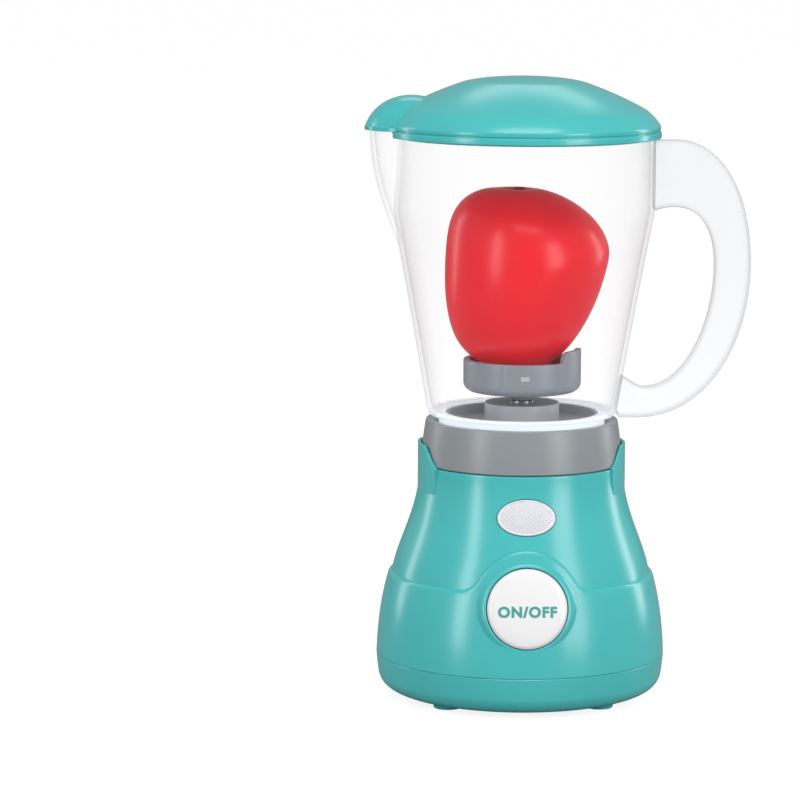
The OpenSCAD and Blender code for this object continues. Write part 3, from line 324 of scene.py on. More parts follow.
milky = addNode(tree, "Math", {"operation": "MULTIPLY"},
                {0: milk.outputs["Result"], 1: neck.outputs["Result"]}).outputs["Value"]
denser = addNode(tree, "Math", {"operation": "MAXIMUM"}, {0: edgeVeil(tree, 0.4, 2.4, 0.007, 0.37), 1: milky})
tree.links.new(denser.outputs["Value"], shader.inputs["Alpha"])
# painted light: the milky ring glows a little, to lift it out of its shade
glow = addNode(tree, "Math", {"operation": "MULTIPLY", 1: frost["glow"]}, {0: milky})
tree.links.new(glow.outputs["Value"], shader.inputs["Emission Strength"])

# The same plastic in the hollow handle, whose two skins and thick edges look a little smoky
smokyStyrene, tree, shader = newMaterial("smokyStyrene", {
    "Base Color": linear("#E3EAEF"), "Roughness": 0.08, "IOR": 1.45, "Specular IOR Level": 0.35})
tree.links.new(edgeVeil(tree, 0.45, 2.0, 0.13, 0.55), shader.inputs["Alpha"])

# Milky acrylic with moulded prisms 1.2 mm apart, drawn as crossed waves
lensAcrylic, tree, shader = newMaterial("lensAcrylic", {
    "Base Color": linear("#EFF0F5"), "Roughness": 0.16, "IOR": 1.49, "Transmission Weight": 0.05})
place = addNode(tree, "TexCoord").outputs["Object"]
heights = []
for turn in (45, -45):
    slanted = addNode(tree, "Mapping", {"Rotation": (0, math.radians(turn), 0)}, {"Vector": place})
    wave = addNode(tree, "TexWave", {"bands_direction": "X", "Scale": 2 * math.pi / 20 / (1.2 * mm)},
                   {"Vector": slanted.outputs["Vector"]})
    heights.append(wave.outputs["Fac"])
prisms = addNode(tree, "Math", {"operation": "MULTIPLY"}, {0: heights[0], 1: heights[1]})
bump = addNode(tree, "Bump", {"Strength": 0.8, "Distance": 0.25 * mm}, {"Height": prisms.outputs["Value"]})
tree.links.new(bump.outputs["Normal"], shader.inputs["Normal"])

# The lens's polished edge, brighter and smoother than the prisms
pearlAcrylic, tree, shader = newMaterial("pearlAcrylic", {"IOR": 1.49})
mouldedSkin(tree, shader, "#F2F5FA", "#F8FAFC", 0.8, 0.004, 0.1, 0.16)

# Pad-printed ink: thin, flat and a little duller than the plastic under it
tealInk, tree, shader = newMaterial("tealInk", {"IOR": 1.5})
mouldedSkin(tree, shader, "#4FA6A0", "#56ACA6", 0.5, 0.003, 0.35, 0.42)


def metalSkin(name, colour, shade, rough, grain):
    # fine scratches in the roughness keep a small metal piece from looking like plastic
    material, tree, shader = newMaterial(name, {"Metallic": 1.0})
    place = addNode(tree, "TexCoord").outputs["Object"]
    scuffs = addNode(tree, "TexNoise", {"Scale": 1 / (grain * mm), "Detail": 4.0}, {"Vector": place})
    tinted(tree, shader, scuffs.outputs["Fac"], colour, shade)
    dull = addNode(tree, "MapRange", {"To Min": rough - 0.06, "To Max": rough + 0.08},
                   {"Value": scuffs.outputs["Fac"]})
    tree.links.new(dull.outputs["Result"], shader.inputs["Roughness"])
    return material


# Zinc-plated steel gleams cold and a little blurred, turned brass warm and tighter
zincSteel = metalSkin("zincSteel", "#B4B8BC", "#C4C8CC", 0.3, 0.6)
turnedBrass = metalSkin("turnedBrass", "#B8954A", "#C9A75A", 0.28, 0.4)

# Glass-fibre board under green lacquer: deep green with a flat sheen
boardLacquer, tree, shader = newMaterial("boardLacquer", {"IOR": 1.5})
mouldedSkin(tree, shader, "#256B42", "#2F7D4F", 0.6, 0.01, 0.3, 0.4)

# Soft PVC, slightly dusty, so its red stays dull
wireSleeve, tree, shader = newMaterial("wireSleeve", {"IOR": 1.53})
mouldedSkin(tree, shader, "#9E2B26", "#B8352E", 0.5, 0.01, 0.45, 0.55)

# Dark shrink film over steel, with a faint metal gleam under it
batteryWrap, tree, shader = newMaterial("batteryWrap", {"IOR": 1.5, "Metallic": 0.3})
mouldedSkin(tree, shader, "#33373D", "#3E434A", 0.7, 0.01, 0.25, 0.35)
print("materials made")

cadFinish = {
    zincSteel: ["socket_screws", "housing_screws", "door_screw", "battery_contacts", "battery_springs",
                "button_spring", "switch_screws", "led_screws", "gearbox_screws", "motor_can", "motor_rotor",
                "motor_screws", "spindle", "wheel_shaft", "thrust_washer"],
    turnedBrass: ["spindle_bush", "wheel_bush"],
    naturalNylon: ["switch_plunger", "switch_bracket", "gearbox_plate", "motor_end_cap", "motor_pinion",
                   "motor_retainer", "spindle_gear"],
    darkAcetal: ["push_switch", "drive_dog", "driven_dog"],
    lensAcrylic: ["led_lamp"], boardLacquer: ["led_board"], wireSleeve: ["wiring"],
    batteryWrap: ["battery_cells"], tealAbs: ["battery_door"],
}
for material, names in cadFinish.items():
    for name in names:
        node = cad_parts[name]
        for slot in node.material_slots:
            slot.material = material
print("finished the CAD nodes that stay")

# base

cover = {"top": 16.36, "footR": 5.8, "footAt": 28.92, "wellAt": (36, 17), "wellR": 3.13,
         "bay": (58.0, 30.0), "doorRim": 2.7, "doorLow": 0.4, "lugX": 35.5, "lugR": 4.7}


def bottomCover():
    under, top, r = body["footH"], cover["top"], body["baseR"]
    side = bezier((42.5, under), (49.5, 1.5), (53.9, 3.9), (54.9, 8.2), 14)
    inner = [(53.6, top), (53.0, 12), (52.4, 8.2), (49.5, 5.0), (43, 4.0), (0, 4.0)]
    bm = spun([(0, under)] + side + [(55.5, 12.5), (r, 16.1), (r - 0.2, top)] + inner, close=False)
    for x, y in corners:
        foot = rod(cover["footR"] - 0.5, 0, 3, (x * cover["footAt"], y * cover["footAt"]), 48, cover["footR"])
        bm = cutBy(bm, softenEdges(foot, 0.4, 60), "UNION")
    for x, y in corners:
        at = (x * cover["wellAt"][0], y * cover["wellAt"][1])
        bm = cutBy(bm, rod(cover["wellR"], -1, 20, at, 40))
    length, width = cover["bay"]
    rim = 2 * cover["doorRim"]
    bm = cutBy(bm, box(length + rim, width + rim, 2.4, (0, 0, cover["doorLow"])))
    return cutBy(bm, rod(cover["lugR"], cover["doorLow"], 3.8, (cover["lugX"], 0), 48))


makePiece("bottomCover", bottomCover(), "base", tealAbs, ["base_plate"])

# The lower housing rises in an arch round the button. The spun wall's upper rows are lifted to the
# arch's edge.
apron = {"steps": 320, "proud": 1.1, "wall": 2.2, "edge": 0.95, "archR": 21.2, "fillet": 7.7}
button = {"r": 15.1, "y": 52.2, "z": 42.6, "tilt": 11, "gap": 0.3, "face": 0.2, "rise": 1.6, "round": 0.55,
          "capWall": 1.5, "skirt": -9.1, "flangeR": 16.6, "flange": 1.2,
          "bezelR": 17.1, "bezelFootR": 18.3, "bezelFace": -0.3, "bezelLow": -8.9, "roomR": 18.5}
buttonPlace = (Matrix.Translation((0, -button["y"], button["z"]))
               @ Matrix.Rotation(math.radians(90 - button["tilt"]), 4, "X"))


def archEdge(x):
    rise = body["shoulder"] - button["z"]
    reach = math.sqrt((apron["archR"] + apron["fillet"]) ** 2 - (rise + apron["fillet"]) ** 2)
    meet = reach * apron["archR"] / (apron["archR"] + apron["fillet"])
    if x < meet:
        return button["z"] + math.sqrt(apron["archR"] ** 2 - x * x)
    if x < reach:
        return body["shoulder"] + apron["fillet"] - math.sqrt(apron["fillet"] ** 2 - (reach - x) ** 2)
    return body["shoulder"]


def apronRadius(z):
    if z <= body["shoulder"]:
        return radiusAt(apronOutline, z)
    return radiusAt(upperOutline, z) + apron["proud"]


def lowerHousing():
    top, edge = body["shoulder"], apron["edge"]
    skin = [p for p in apronOutline if p[1] < top - edge]
    skin[0] = (skin[0][0] - 0.15, skin[0][1])
    skin.insert(1, (apronOutline[0][0], body["seam"] + 0.2))
    lip = [(apronRadius(top - edge), top - edge), (apronRadius(top) - 0.12 * edge, top - 0.35 * edge),
           (apronRadius(top) - 0.5 * edge, top - 0.05 * edge), (apronRadius(top) - edge, top)]
    inner = [(body["shoulderR"] + 0.02, top), (body["shoulderR"] - 0.3, top - 1.4)]
    inner += [(r - apron["wall"] - 0.6, z) for r, z in reversed(apronOutline) if z < top - 4]
    bm = spun(skin + lip + inner, apron["steps"])
    for v in bm.verts:
        r, z = math.hypot(v.co.x, v.co.y), v.co.z
        x = abs(v.co.x)
        lift = (archEdge(x) - top) * smoothStep(24, top - 1.5, z) if v.co.y < 0 and x < 26 else 0
        if lift:
            newR = r - apronRadius(z) + apronRadius(z + lift)
            v.co.x, v.co.y, v.co.z = v.co.x * newR / r, v.co.y * newR / r, z + lift
    bore, face, low = button["r"] + button["gap"], button["bezelFace"], button["bezelLow"]
    bm = cutBy(bm, placed(rod(bore, -14, 10, sides=96), buttonPlace))
    rounded = [(bore, face - 0.5), (bore + 0.15, face - 0.15), (bore + 0.45, face), (bore + 0.9, face - 0.1),
               (button["bezelR"], face - 0.55), (button["bezelR"] + 0.7, face - 1.3)]
    foot = [(button["bezelFootR"] + 0.4, face - 2.6), (button["bezelFootR"] - 0.6, low), (bore, low)]
    return merged(bm, placed(spun(rounded + foot, 128), buttonPlace))


makePiece("lowerHousing", lowerHousing(), "base", tealAbs, ["lower_housing"])

# The upper housing's side strips stand 1 mm proud and rise past the rim as two ears that hold the socket
ears = {"r": 40.1, "inR": 38.9, "rootR": 38.2, "low": 72.6, "high": 7.9, "ledge": 0.6, "footAngle": 32,
        "topAngle": 15, "edge": 0.6}
lens = {"w": 22.1, "h": 13.8, "z": 75.4, "tilt": 16, "gap": 0.22, "ball": 30, "proud": 1.2, "deep": 4.3}
lensPlace = (Matrix.Translation((0, -radiusAt(upperOutline, lens["z"]), lens["z"]))
             @ Matrix.Rotation(math.radians(90 - lens["tilt"]), 4, "X"))


def earStrip(side):
    rim, low, r = body["rim"], ears["low"], ears["r"]
    rows = [low + (rim - low) * i / 12 for i in range(13)] + [rim + 0.01, rim + ears["ledge"]]
    outline = [(r, z) for z in rows] + [(ears["inR"], rim + ears["ledge"]), (ears["inR"], rim + 0.02),
                                        (ears["rootR"], rim - 0.5), (ears["rootR"], low)]
    bm = bmesh.new()
    geom = chain(bm, outline)
    turned(bm, -ears["footAngle"])
    bmesh.ops.spin(bm, geom=geom, cent=(0, 0, 0), axis=(0, 0, 1), angle=math.radians(2 * ears["footAngle"]),
                   steps=48)
    bmesh.ops.holes_fill(bm, edges=[e for e in bm.edges if e.is_boundary], sides=len(outline))
    bmesh.ops.recalc_face_normals(bm, faces=bm.faces)
    footW = r * math.sin(math.radians(ears["footAngle"]))
    topW = r * math.sin(math.radians(ears["topAngle"]))
    for v in bm.verts:
        if v.co.z > rim + 0.3:
            t = min(max((footW - abs(v.co.y)) / (footW - topW), 0), 1)
            rise = (ears["high"] - ears["ledge"]) * (1 - math.cos(math.pi * t)) / 2
            v.co.z += rise - 0.55 * (1 - min(t * 6, 1))
    softenEdges(bm, ears["edge"], 50)
    return turned(bm, 180) if side < 0 else bm


# The ledge inside, to which the socket is screwed
ledge = {"inR": 27.5, "top": 86, "low": 84}


def upperHousing():
    rim, wall, rimR = body["rim"], body["wall"], body["rimR"]
    skin = [p for p in upperOutline if p[1] < rim - 0.4]
    outline = skin + [(rimR, rim - 0.35), (rimR - 0.1, rim - 0.1), (rimR - 0.35, rim), (rimR - wall, rim),
                      (rimR - wall, ledge["top"]), (ledge["inR"], ledge["top"]), (ledge["inR"], ledge["low"]),
                      (rimR - wall, ledge["low"])]
    outline += [(r - wall, z) for r, z in reversed(upperOutline) if z < ledge["low"] - 1]
    bm = spun(outline, 256)
    bm = cutBy(bm, placed(rod(button["roomR"], -35, 10, sides=64), buttonPlace))
    hole = rod(1, -12, 8, sides=96)
    bmesh.ops.scale(hole, vec=(lens["w"] / 2 + lens["gap"], lens["h"] / 2 + lens["gap"], 1), verts=hole.verts)
    bm = cutBy(bm, placed(hole, lensPlace))
    return merged(bm, earStrip(1), earStrip(-1))


makePiece("upperHousing", upperHousing(), "base", tealAbs, ["upper_housing"], sharpAngle=30)

socket = {"seam": 90.9, "outR": 38.7, "topR": 37.0, "inR": 34.3, "edge": 0.5, "floorT": 2.5,
          "boreR": 4.02, "bossR": 6.0, "bossH": 9, "skirtR": 35.0, "skirtLow": 86.1,
          "stop": (1.9, 2.0, 7.0), "stopAt": (33.5, 3.9)}


def jugSocket():
    floor, top = body["socketFloor"], body["collarTop"]
    under, bossLow = floor - socket["floorT"], floor - socket["bossH"]
    outer = [(socket["outR"], socket["seam"]), (38.45, 95.0), (38.2, 99.2), (37.7, 103.2),
             (socket["topR"], top)]
    well = [(socket["inR"], top), (socket["inR"], floor), (socket["boreR"], floor),
            (socket["boreR"], bossLow)]
    skirt = [(socket["bossR"], bossLow), (socket["bossR"], under), (socket["skirtR"], under),
             (socket["skirtR"], socket["skirtLow"]), (socket["topR"], socket["skirtLow"]),
             (socket["topR"], socket["seam"])]
    bm = softenEdges(spun(outer + well + skirt), socket["edge"], 40)
    for x, y in corners:
        stop = box(*socket["stop"], (x * socket["stopAt"][0], y * socket["stopAt"][1], floor))
        bm = merged(bm, softenEdges(stop, 0.3, 50, 2))
    return bm


makePiece("jugSocket", jugSocket(), "base", greyAbs, ["jug_socket"])


def ovalOnLens(bm, low):
    # stretches a round form of radius 1 to the lens's oval and lifts what is above low to its crown
    bmesh.ops.scale(bm, vec=(lens["w"] / 2, lens["h"] / 2, 1), verts=bm.verts)
    for v in bm.verts:
        if v.co.z > low:
            flat = v.co.x ** 2 + v.co.y ** 2
            v.co.z += lens["proud"] - lens["ball"] + math.sqrt(lens["ball"] ** 2 - flat)
    return placed(bm, lensPlace)


def lampLens():
    face = [(i / 12, 0) for i in range(12)] + [(0.985, 0), (1.0, -0.35)]
    return ovalOnLens(spun(face + [(1.0, -lens["deep"]), (0, -lens["deep"])], 96, close=False), -1)


def lensRim():
    # a smooth raised band round the prisms
    band = [(0.9, -0.4), (0.905, 0.1), (0.93, 0.24), (0.965, 0.2), (0.99, 0.0), (1.0, -0.4)]
    return ovalOnLens(spun(band + [(1.0, -1.6), (0.9, -1.6)], 128), -2)


makePiece("lampLens", lampLens(), "base", lensAcrylic, ["lamp_lens"])
makePiece("lensRim", lensRim(), "base", pearlAcrylic, sharpAngle=60)
print("base done")

# button


def powerButton():
    r, skirt, bore = button["r"], button["skirt"], button["r"] - button["capWall"]
    angles = [math.radians(90 * i / 14) for i in range(15)]
    domed = [((r - button["round"]) * math.sin(a), button["face"] + button["rise"] * math.cos(a))
             for a in angles]
    rounded = [(r - 0.2, 0.08), (r, -0.3)]
    wall = [(r, skirt), (button["flangeR"], skirt), (button["flangeR"], skirt - button["flange"]),
            (bore, skirt - button["flange"]), (bore, -1.6), (0, -1.6)]
    return placed(spun(domed + rounded + wall, 128, close=False), buttonPlace)


makePiece("powerButton", powerButton(), "button", whiteAbs, ["power_button"], sharpAngle=50)

letters = {"words": "ON/OFF", "height": 4.3, "width": 22.2, "below": 1.1, "bold": 0.05, "spacing": 1.16,
           "lift": 0.06, "sink": 0.05}


def buttonLetters():
    curve = bpy.data.curves.new("words", "FONT")
    curve.body, curve.align_x, curve.align_y = letters["words"], "CENTER", "CENTER"
    curve.offset, curve.extrude = letters["bold"], 0.01
    curve.space_character = letters["spacing"]
    words = bpy.data.objects.new("words", curve)
    bpy.context.scene.collection.objects.link(words)
    bm = bmesh.new()
    mesh = bpy.data.meshes.new_from_object(words.evaluated_get(bpy.context.evaluated_depsgraph_get()))
    bm.from_mesh(mesh)
    bpy.data.objects.remove(words)
    bpy.data.meshes.remove(mesh)
    low = Vector([min(v.co[i] for v in bm.verts) for i in range(3)])
    high = Vector([max(v.co[i] for v in bm.verts) for i in range(3)])
    bmesh.ops.translate(bm, vec=-(low + high) / 2, verts=bm.verts)
    bmesh.ops.scale(bm, vec=(letters["width"] / (high.x - low.x), letters["height"] / (high.y - low.y), 1),
                    verts=bm.verts)
    bmesh.ops.translate(bm, vec=(0, -letters["below"], 0), verts=bm.verts)
    for v in bm.verts:
        flat = min(math.hypot(v.co.x, v.co.y) / (button["r"] - button["round"]), 1)
        above = letters["lift"] if v.co.z > 0 else -letters["sink"]
        v.co.z = button["face"] + button["rise"] * math.sqrt(1 - flat * flat) + above
    bmesh.ops.remove_doubles(bm, verts=bm.verts, dist=0.0005)
    return placed(bm, buttonPlace)


makePiece("buttonLetters", buttonLetters(), "button", tealInk, sharpAngle=50, weighted=False)
print("button done")

# jug

jug = {"wall": 1.8, "neckR": 32.0, "neckWall": 2.2, "neckLow": 98.8, "steps": 192}


def jugSolid(shrink=0, low=None, top=None):
    # the round body as one solid, to be hollowed or to cut others by
    low = body["jugUnder"] if low is None else low
    top = body["jugRim"] if top is None else top
    foot = body["jugFootR"] - shrink
    side = [(r - shrink, z) for r, z in jugOutline if z > low + 2]
    rim = body["jugRimR"] - shrink
    under = [(0, low), (foot - 2.0, low), (foot - 1.1, low + 0.25), (foot - 0.4, low + 0.85),
             (foot, low + 1.9)]
    above = [(rim - 0.05, 189.5), (rim, 192), (rim, top), (0, top)]
    return spun(under + side + above, jug["steps"], close=False)


def spoutSolid(shrink=0, lift=0, top=None):
    top = body["spoutTop"] if top is None else top
    side = [(r - shrink, z + lift) for r, z in spoutOutline if r > shrink + 0.5]
    outline = [(0, side[0][1])] + side + [(side[-1][0], top), (0, top)]
    return atSpout(spun(outline, 128, close=False))


def jugBody():
    bm = cutBy(jugSolid(), spoutSolid(top=body["spoutTop"] + 0.003), "UNION")
    bm = cutBy(bm, rod(jug["neckR"], jug["neckLow"], 110.0, sides=192), "UNION")
    bm = cutBy(bm, jugSolid(jug["wall"], body["jugFloor"], 222))
    bm = cutBy(bm, spoutSolid(jug["wall"], 0.5, 223))
    return cutBy(bm, rod(jug["neckR"] - jug["neckWall"], 90, 130, sides=192))


makePiece("jugBody", jugBody(), "jug", clearStyrene, ["jug_body"], sharpAngle=30)

grip = {"out": [((36, 215.3), (44, 215.3), (52, 215.3), (60, 215.3)),
                ((60, 215.3), (77, 214.3), (87.6, 194), (87.6, 167)),
                ((87.6, 167), (87.6, 138), (72, 108.3), (44, 108.3)),
                ((44, 108.3), (40, 108.3), (34, 108.3), (30, 108.3))],
        "in": [((36, 186.3), (42, 186.3), (46, 186.8), (51, 188.6)),
               ((51, 188.6), (66, 193.3), (73.9, 183), (73.9, 167)),
               ((73.9, 167), (73.9, 143), (62, 118.3), (46, 119.9)),
               ((46, 119.9), (43, 120.7), (40, 124.3), (30, 128.3))],
        "depth": 15, "sides": 32, "steps": (6, 16, 16, 6), "squareness": 0.42, "gap": 0.05}


def jugHandle():
    outer, inner = [], []
    for part, count in enumerate(grip["steps"]):
        last = 1 if part < 3 else 0
        outer += bezier(*grip["out"][part], count)[:count + 1 - last]
        inner += bezier(*grip["in"][part], count)[:count + 1 - last]
    bm = bmesh.new()
    rings = [bmesh.ops.create_circle(bm, cap_ends=False, segments=grip["sides"], radius=1)["verts"]]
    for _ in outer[1:]:
        rings.append(nextRing(bm, rings[-1]))
    for (ox, oz), (ix, iz), ring in zip(outer, inner, rings):
        for v in ring:
            a = math.atan2(v.co.y, v.co.x)
            u = math.copysign(abs(math.cos(a)) ** grip["squareness"], math.cos(a))
            w = math.copysign(abs(math.sin(a)) ** grip["squareness"], math.sin(a))
            v.co = ((ox + ix) / 2 + (ox - ix) / 2 * u, grip["depth"] / 2 * w,
                    (oz + iz) / 2 + (oz - iz) / 2 * u)
    bmesh.ops.holes_fill(bm, edges=[e for e in bm.edges if e.is_boundary], sides=grip["sides"])
    bmesh.ops.recalc_face_normals(bm, faces=bm.faces)
    bm = cutBy(bm, jugSolid(-grip["gap"]))
    return cutBy(bm, rod(body["jugFootR"] + 0.6, 90, 110.2, sides=96))


makePiece("jugHandle", jugHandle(), "jug", smokyStyrene, ["jug_handle"], sharpAngle=45)

carrier = {"wallR": 29.6, "wallIn": 28.2, "top": 110.1, "dish": 106.0, "domeR": 14.4, "domeTop": 114.0,
           "bore": 4.02, "wall": 2.0, "flangeTop": 98.6, "sleeveR": 6.0, "sleeveLow": 108.2}


def bladeCarrier():
    low, wall = body["socketFloor"], carrier["wall"]
    above = [(carrier["bore"], carrier["domeTop"]), (carrier["domeR"], carrier["domeTop"]),
             (carrier["domeR"], carrier["dish"]), (carrier["wallIn"], carrier["dish"]),
             (carrier["wallIn"], carrier["top"]), (carrier["wallR"], carrier["top"])]
    flange = [(carrier["wallR"], carrier["flangeTop"]), (jug["neckR"], carrier["flangeTop"]),
              (jug["neckR"], low)]
    dishLow, domeLow, domeR = carrier["dish"] - wall, carrier["domeTop"] - wall, carrier["domeR"] - wall
    below = [(carrier["wallIn"], low), (carrier["wallIn"], dishLow), (domeR, dishLow), (domeR, domeLow),
             (carrier["sleeveR"], domeLow), (carrier["sleeveR"], carrier["sleeveLow"]),
             (carrier["bore"], carrier["sleeveLow"])]
    return softenEdges(spun(above + flange + below, 160), 0.5, 40)


# the dish's lighter grey is painted light against the shade inside the jug
makePiece("bladeCarrier", bladeCarrier(), "jug", litGreyAbs, ["blade_carrier"])
print("jug done")

# blade wheel

wheel = {"r": 22.7, "low": 118.3, "wallH": 12.5, "wall": 2.5, "round": 3.6, "turn": -21, "crease": 0.45,
         "toothH": 4.2, "toothHalf": 27, "toothRound": 2.8,
         "pad": (3.4, 1.5, 2.8), "padOut": 0.3, "padUp": 6.3, "padLean": 10,
         "vane": 1.8, "vaneTop": 125.3, "hubR": 4.2, "hubLow": 114.7}
thirds = (0, 120, 240)


def bladeWheel():
    r, low, wall = wheel["r"], wheel["low"], wheel["wall"]
    top = low + wheel["wallH"]
    foot = [(r - wheel["round"] * (1 - math.sin(math.radians(9 * i))),
             low + wheel["round"] * (1 - math.cos(math.radians(9 * i)))) for i in range(11)]
    side = [(r, low + 5 + i) for i in range(6)] + [(r, top - 0.5), (r - 0.15, top - 0.15), (r - 0.5, top)]
    inner = [(r - wall + 0.4, top), (r - wall, top - 0.5)] + [(r - wall, top - 1.5 - i) for i in range(6)]
    inner += [(r - wall - 2, low + 2), (0, low + 2)]
    bm = spun([(0, low)] + foot + side + inner, 180, close=False)
    toothW = r * math.sin(math.radians(wheel["toothHalf"]))
    for v in bm.verts:
        flat = math.hypot(v.co.x, v.co.y)
        if flat < 1:
            continue
        angle = math.degrees(math.atan2(v.co.x, -v.co.y)) - wheel["turn"]  # 0 at the front, on a crease
        fromTooth = abs((angle + 90) % 360 - 180)
        if v.co.z > top - 4:
            # one stretch of the wall rises to the tall tooth with its round corners
            inTooth = toothW - r * math.sin(math.radians(min(fromTooth, 90)))
            corner = 1 - min(inTooth / wheel["toothRound"], 1)
            lift = 0 if inTooth <= 0 else wheel["toothH"] * math.sqrt(max(0, 1 - corner ** 2))
            v.co.z += lift * smoothStep(top - 4, top - 0.6, v.co.z)
        fromCrease = abs((angle + 30) % 60 - 30)
        if flat > r - 1.5 and v.co.z > low + 3:
            # a shallow crease between the wall's six panels
            push = wheel["crease"] * math.exp(-(fromCrease / 1.6) ** 2)
            v.co.x, v.co.y = v.co.x * (flat - push) / flat, v.co.y * (flat - push) / flat
    length = r - 1.2
    for turn in thirds:
        vane = box(wheel["vane"], length, wheel["vaneTop"] - low - 1, (0, -length / 2, low + 1))
        bm = merged(bm, turned(softenEdges(vane, 0.35, 50), turn + wheel["turn"]))
    return merged(bm, softenEdges(rod(wheel["hubR"], wheel["hubLow"], wheel["vaneTop"]), 0.5, 50))


def wheelPads():
    # their faces lean back a little, so that they catch the light from above
    place = (Matrix.Translation((0, -wheel["r"] - wheel["padOut"], wheel["low"] + wheel["padUp"]))
             @ Matrix.Rotation(math.radians(-wheel["padLean"]), 4, "X"))
    pads = []
    for turn in thirds:
        pad = softenEdges(box(*wheel["pad"], (0, wheel["pad"][1] / 2, 0)), 0.25, 50)
        pads.append(placed(pad, Matrix.Rotation(math.radians(turn), 4, "Z") @ place))
    return merged(*pads)


makePiece("bladeWheel", bladeWheel(), "wheel", darkGreyAbs, ["blade_wheel"])
# The pads' lighter grey is painted light: it stands for the bright patches on the wheel's wall.
makePiece("wheelPads", wheelPads(), "wheel", litGreyAbs)
print("blade wheel done")

# play pepper

pepper = {"low": 125.7, "size": 1.0288, "rows": 11, "sides": 24, "lobe": 0.05, "flat": 0.97, "dimple": 2.2,
          "dent": 1.1, "unevenness": 0.25, "grain": 14, "seed": 7,
          "left": [((0, 0), (-23, 1), (-29.7, 13), (-29.7, 36)),
                   ((-29.7, 36), (-29.7, 59), (-27, 69.8), (-5, 69.5))],
          "right": [((0, 0), (16.5, 0.5), (28.5, 21), (32.8, 44)),
                    ((32.8, 44), (32.8, 56), (18, 69), (-1, 69.5))]}


def playPepper():
    # the left and the right outline give the middle and the width of each ring
    left, right = ([p for part in (0, 1) for p in bezier(*pepper[key][part], pepper["rows"])[part:]][1:-1]
                   for key in ("left", "right"))
    bm = bmesh.new()
    rings = [bmesh.ops.create_circle(bm, cap_ends=False, segments=pepper["sides"], radius=1)["verts"]]
    for _ in left[1:]:
        rings.append(nextRing(bm, rings[-1]))
    count = len(rings) - 1
    for i, ((lx, lz), (rx, rz), ring) in enumerate(zip(left, right, rings)):
        ends = abs(2 * i / count - 1)
        for v in ring:
            a = math.atan2(v.co.y, v.co.x)
            k = 1 + pepper["lobe"] * (0.35 + ends * ends) * (math.cos(4 * a) - 1)
            v.co = ((lx + rx) / 2 + (rx - lx) / 2 * math.cos(a) * k,
                    pepper["flat"] * (rx - lx) / 2 * math.sin(a) * k,
                    (lz + rz) / 2 + (rz - lz) / 2 * math.cos(a) * k)
            v.co = v.co * pepper["size"] + Vector((0, 0, pepper["low"]))
    # the top folds in round the stalk, and the tip closes
    for ring, depth, shrink in ((rings[-1], pepper["dimple"], 0.45), (rings[0], -pepper["dent"], 0.35)):
        middle = sum((v.co for v in ring), Vector()) / len(ring)
        verts = nextRing(bm, ring)
        for v in verts:
            v.co = middle + (v.co - middle) * shrink - Vector((0, 0, depth * 0.8))
        bmesh.ops.pointmerge(bm, verts=nextRing(bm, verts), merge_co=middle - Vector((0, 0, depth)))
    bmesh.ops.recalc_face_normals(bm, faces=bm.faces)
    # the skin is slightly uneven, and the seed makes it the same in each run
    noise.seed_set(pepper["seed"])
    for v in bm.verts:
        v.co += pepper["unevenness"] * noise.noise_vector(v.co / pepper["grain"])
    return bm


piece = makePiece("playPepper", playPepper(), "pepper", redVinyl, ["play_pepper"],
                  sharpAngle=180, weighted=False)
smooth = piece.modifiers.new("smooth skin", "SUBSURF")
smooth.levels = smooth.render_levels = 2

stalk = {"r": 2.4, "taper": 0.8, "low": 192.4, "high": 197.0, "x": -3.1, "lean": 1.6}


def pepperStalk():
    bm = rod(stalk["r"], stalk["low"], stalk["high"], (stalk["x"], 0), 24, stalk["r"] * stalk["taper"])
    tall = [e for e in bm.edges if abs(e.verts[0].co.z - e.verts[1].co.z) > 1]
    bmesh.ops.subdivide_edges(bm, edges=tall, cuts=4, use_grid_fill=True)
    for v in bm.verts:
        up = (v.co.z - stalk["low"]) / (stalk["high"] - stalk["low"])
        v.co.x += stalk["lean"] * up * up
    return softenEdges(bm, 0.5, 60)


makePiece("pepperStalk", pepperStalk(), "pepper", stalkVinyl, ["pepper_stalk"])
print("pepper done")

# lid

lid = {"r": 52.6, "lip": 0.9, "edge": 1.6, "h": 22.2, "wall": 1.8, "crownR": 24.5, "groove": 0.6,
       "hoodR": 18.0, "hoodLow": 218.8, "hoodH": 13.2,
       "plug": 1.6, "plugR": 48.2, "plugIn": 46.4, "wallSlack": 1.2, "gap": 0.4}


def lidOutline():
    r, rim, h, crown = lid["r"], body["jugRim"], lid["h"], lid["crownR"]
    low, edge, grooveR = rim - lid["lip"], rim + lid["edge"], r - 0.25 - lid["groove"]
    # the lip, a shadow groove above it, and the dome's foot with a small round edge
    side = [(r - 0.4, low), (r - 0.12, low + 0.12), (r, low + 0.45), (r, edge - 0.6), (r - 0.08, edge - 0.25),
            (r - 0.3, edge), (grooveR, edge + 0.08), (grooveR, edge + 0.4), (r - 0.45, edge + 0.55),
            (r - 0.3, edge + 0.85), (r - 0.25, edge + 1.7)]
    # the dome in three smooth curves, up to the crown and the middle
    side += bezier((r - 0.32, edge + 2.05), (r - 1.1, rim + 0.23 * h), (r - 3, rim + 0.34 * h),
                   (r - 5.6, rim + 0.43 * h), 12)
    side += bezier((r - 6.2, rim + 0.446 * h), (0.51 * r + 0.49 * crown, rim + 0.634 * h),
                   (crown + 7, rim + 0.773 * h), (crown, rim + 0.883 * h), 14)
    side += bezier((crown - 0.9, rim + 0.897 * h), (0.78 * crown, rim + 0.957 * h),
                   (0.42 * crown, rim + h), (0, rim + h), 12)
    return side


def hoodOutline(shrink=0, drop=0):
    r, low, h = lid["hoodR"] - shrink, lid["hoodLow"], lid["hoodH"] - drop
    dome = bezier((r - 0.4, low + 2), (0.85 * r, low + 0.62 * h), (0.5 * r, low + h), (0, low + h), 14)
    return [(r, low), (r, low + 1.4)] + dome


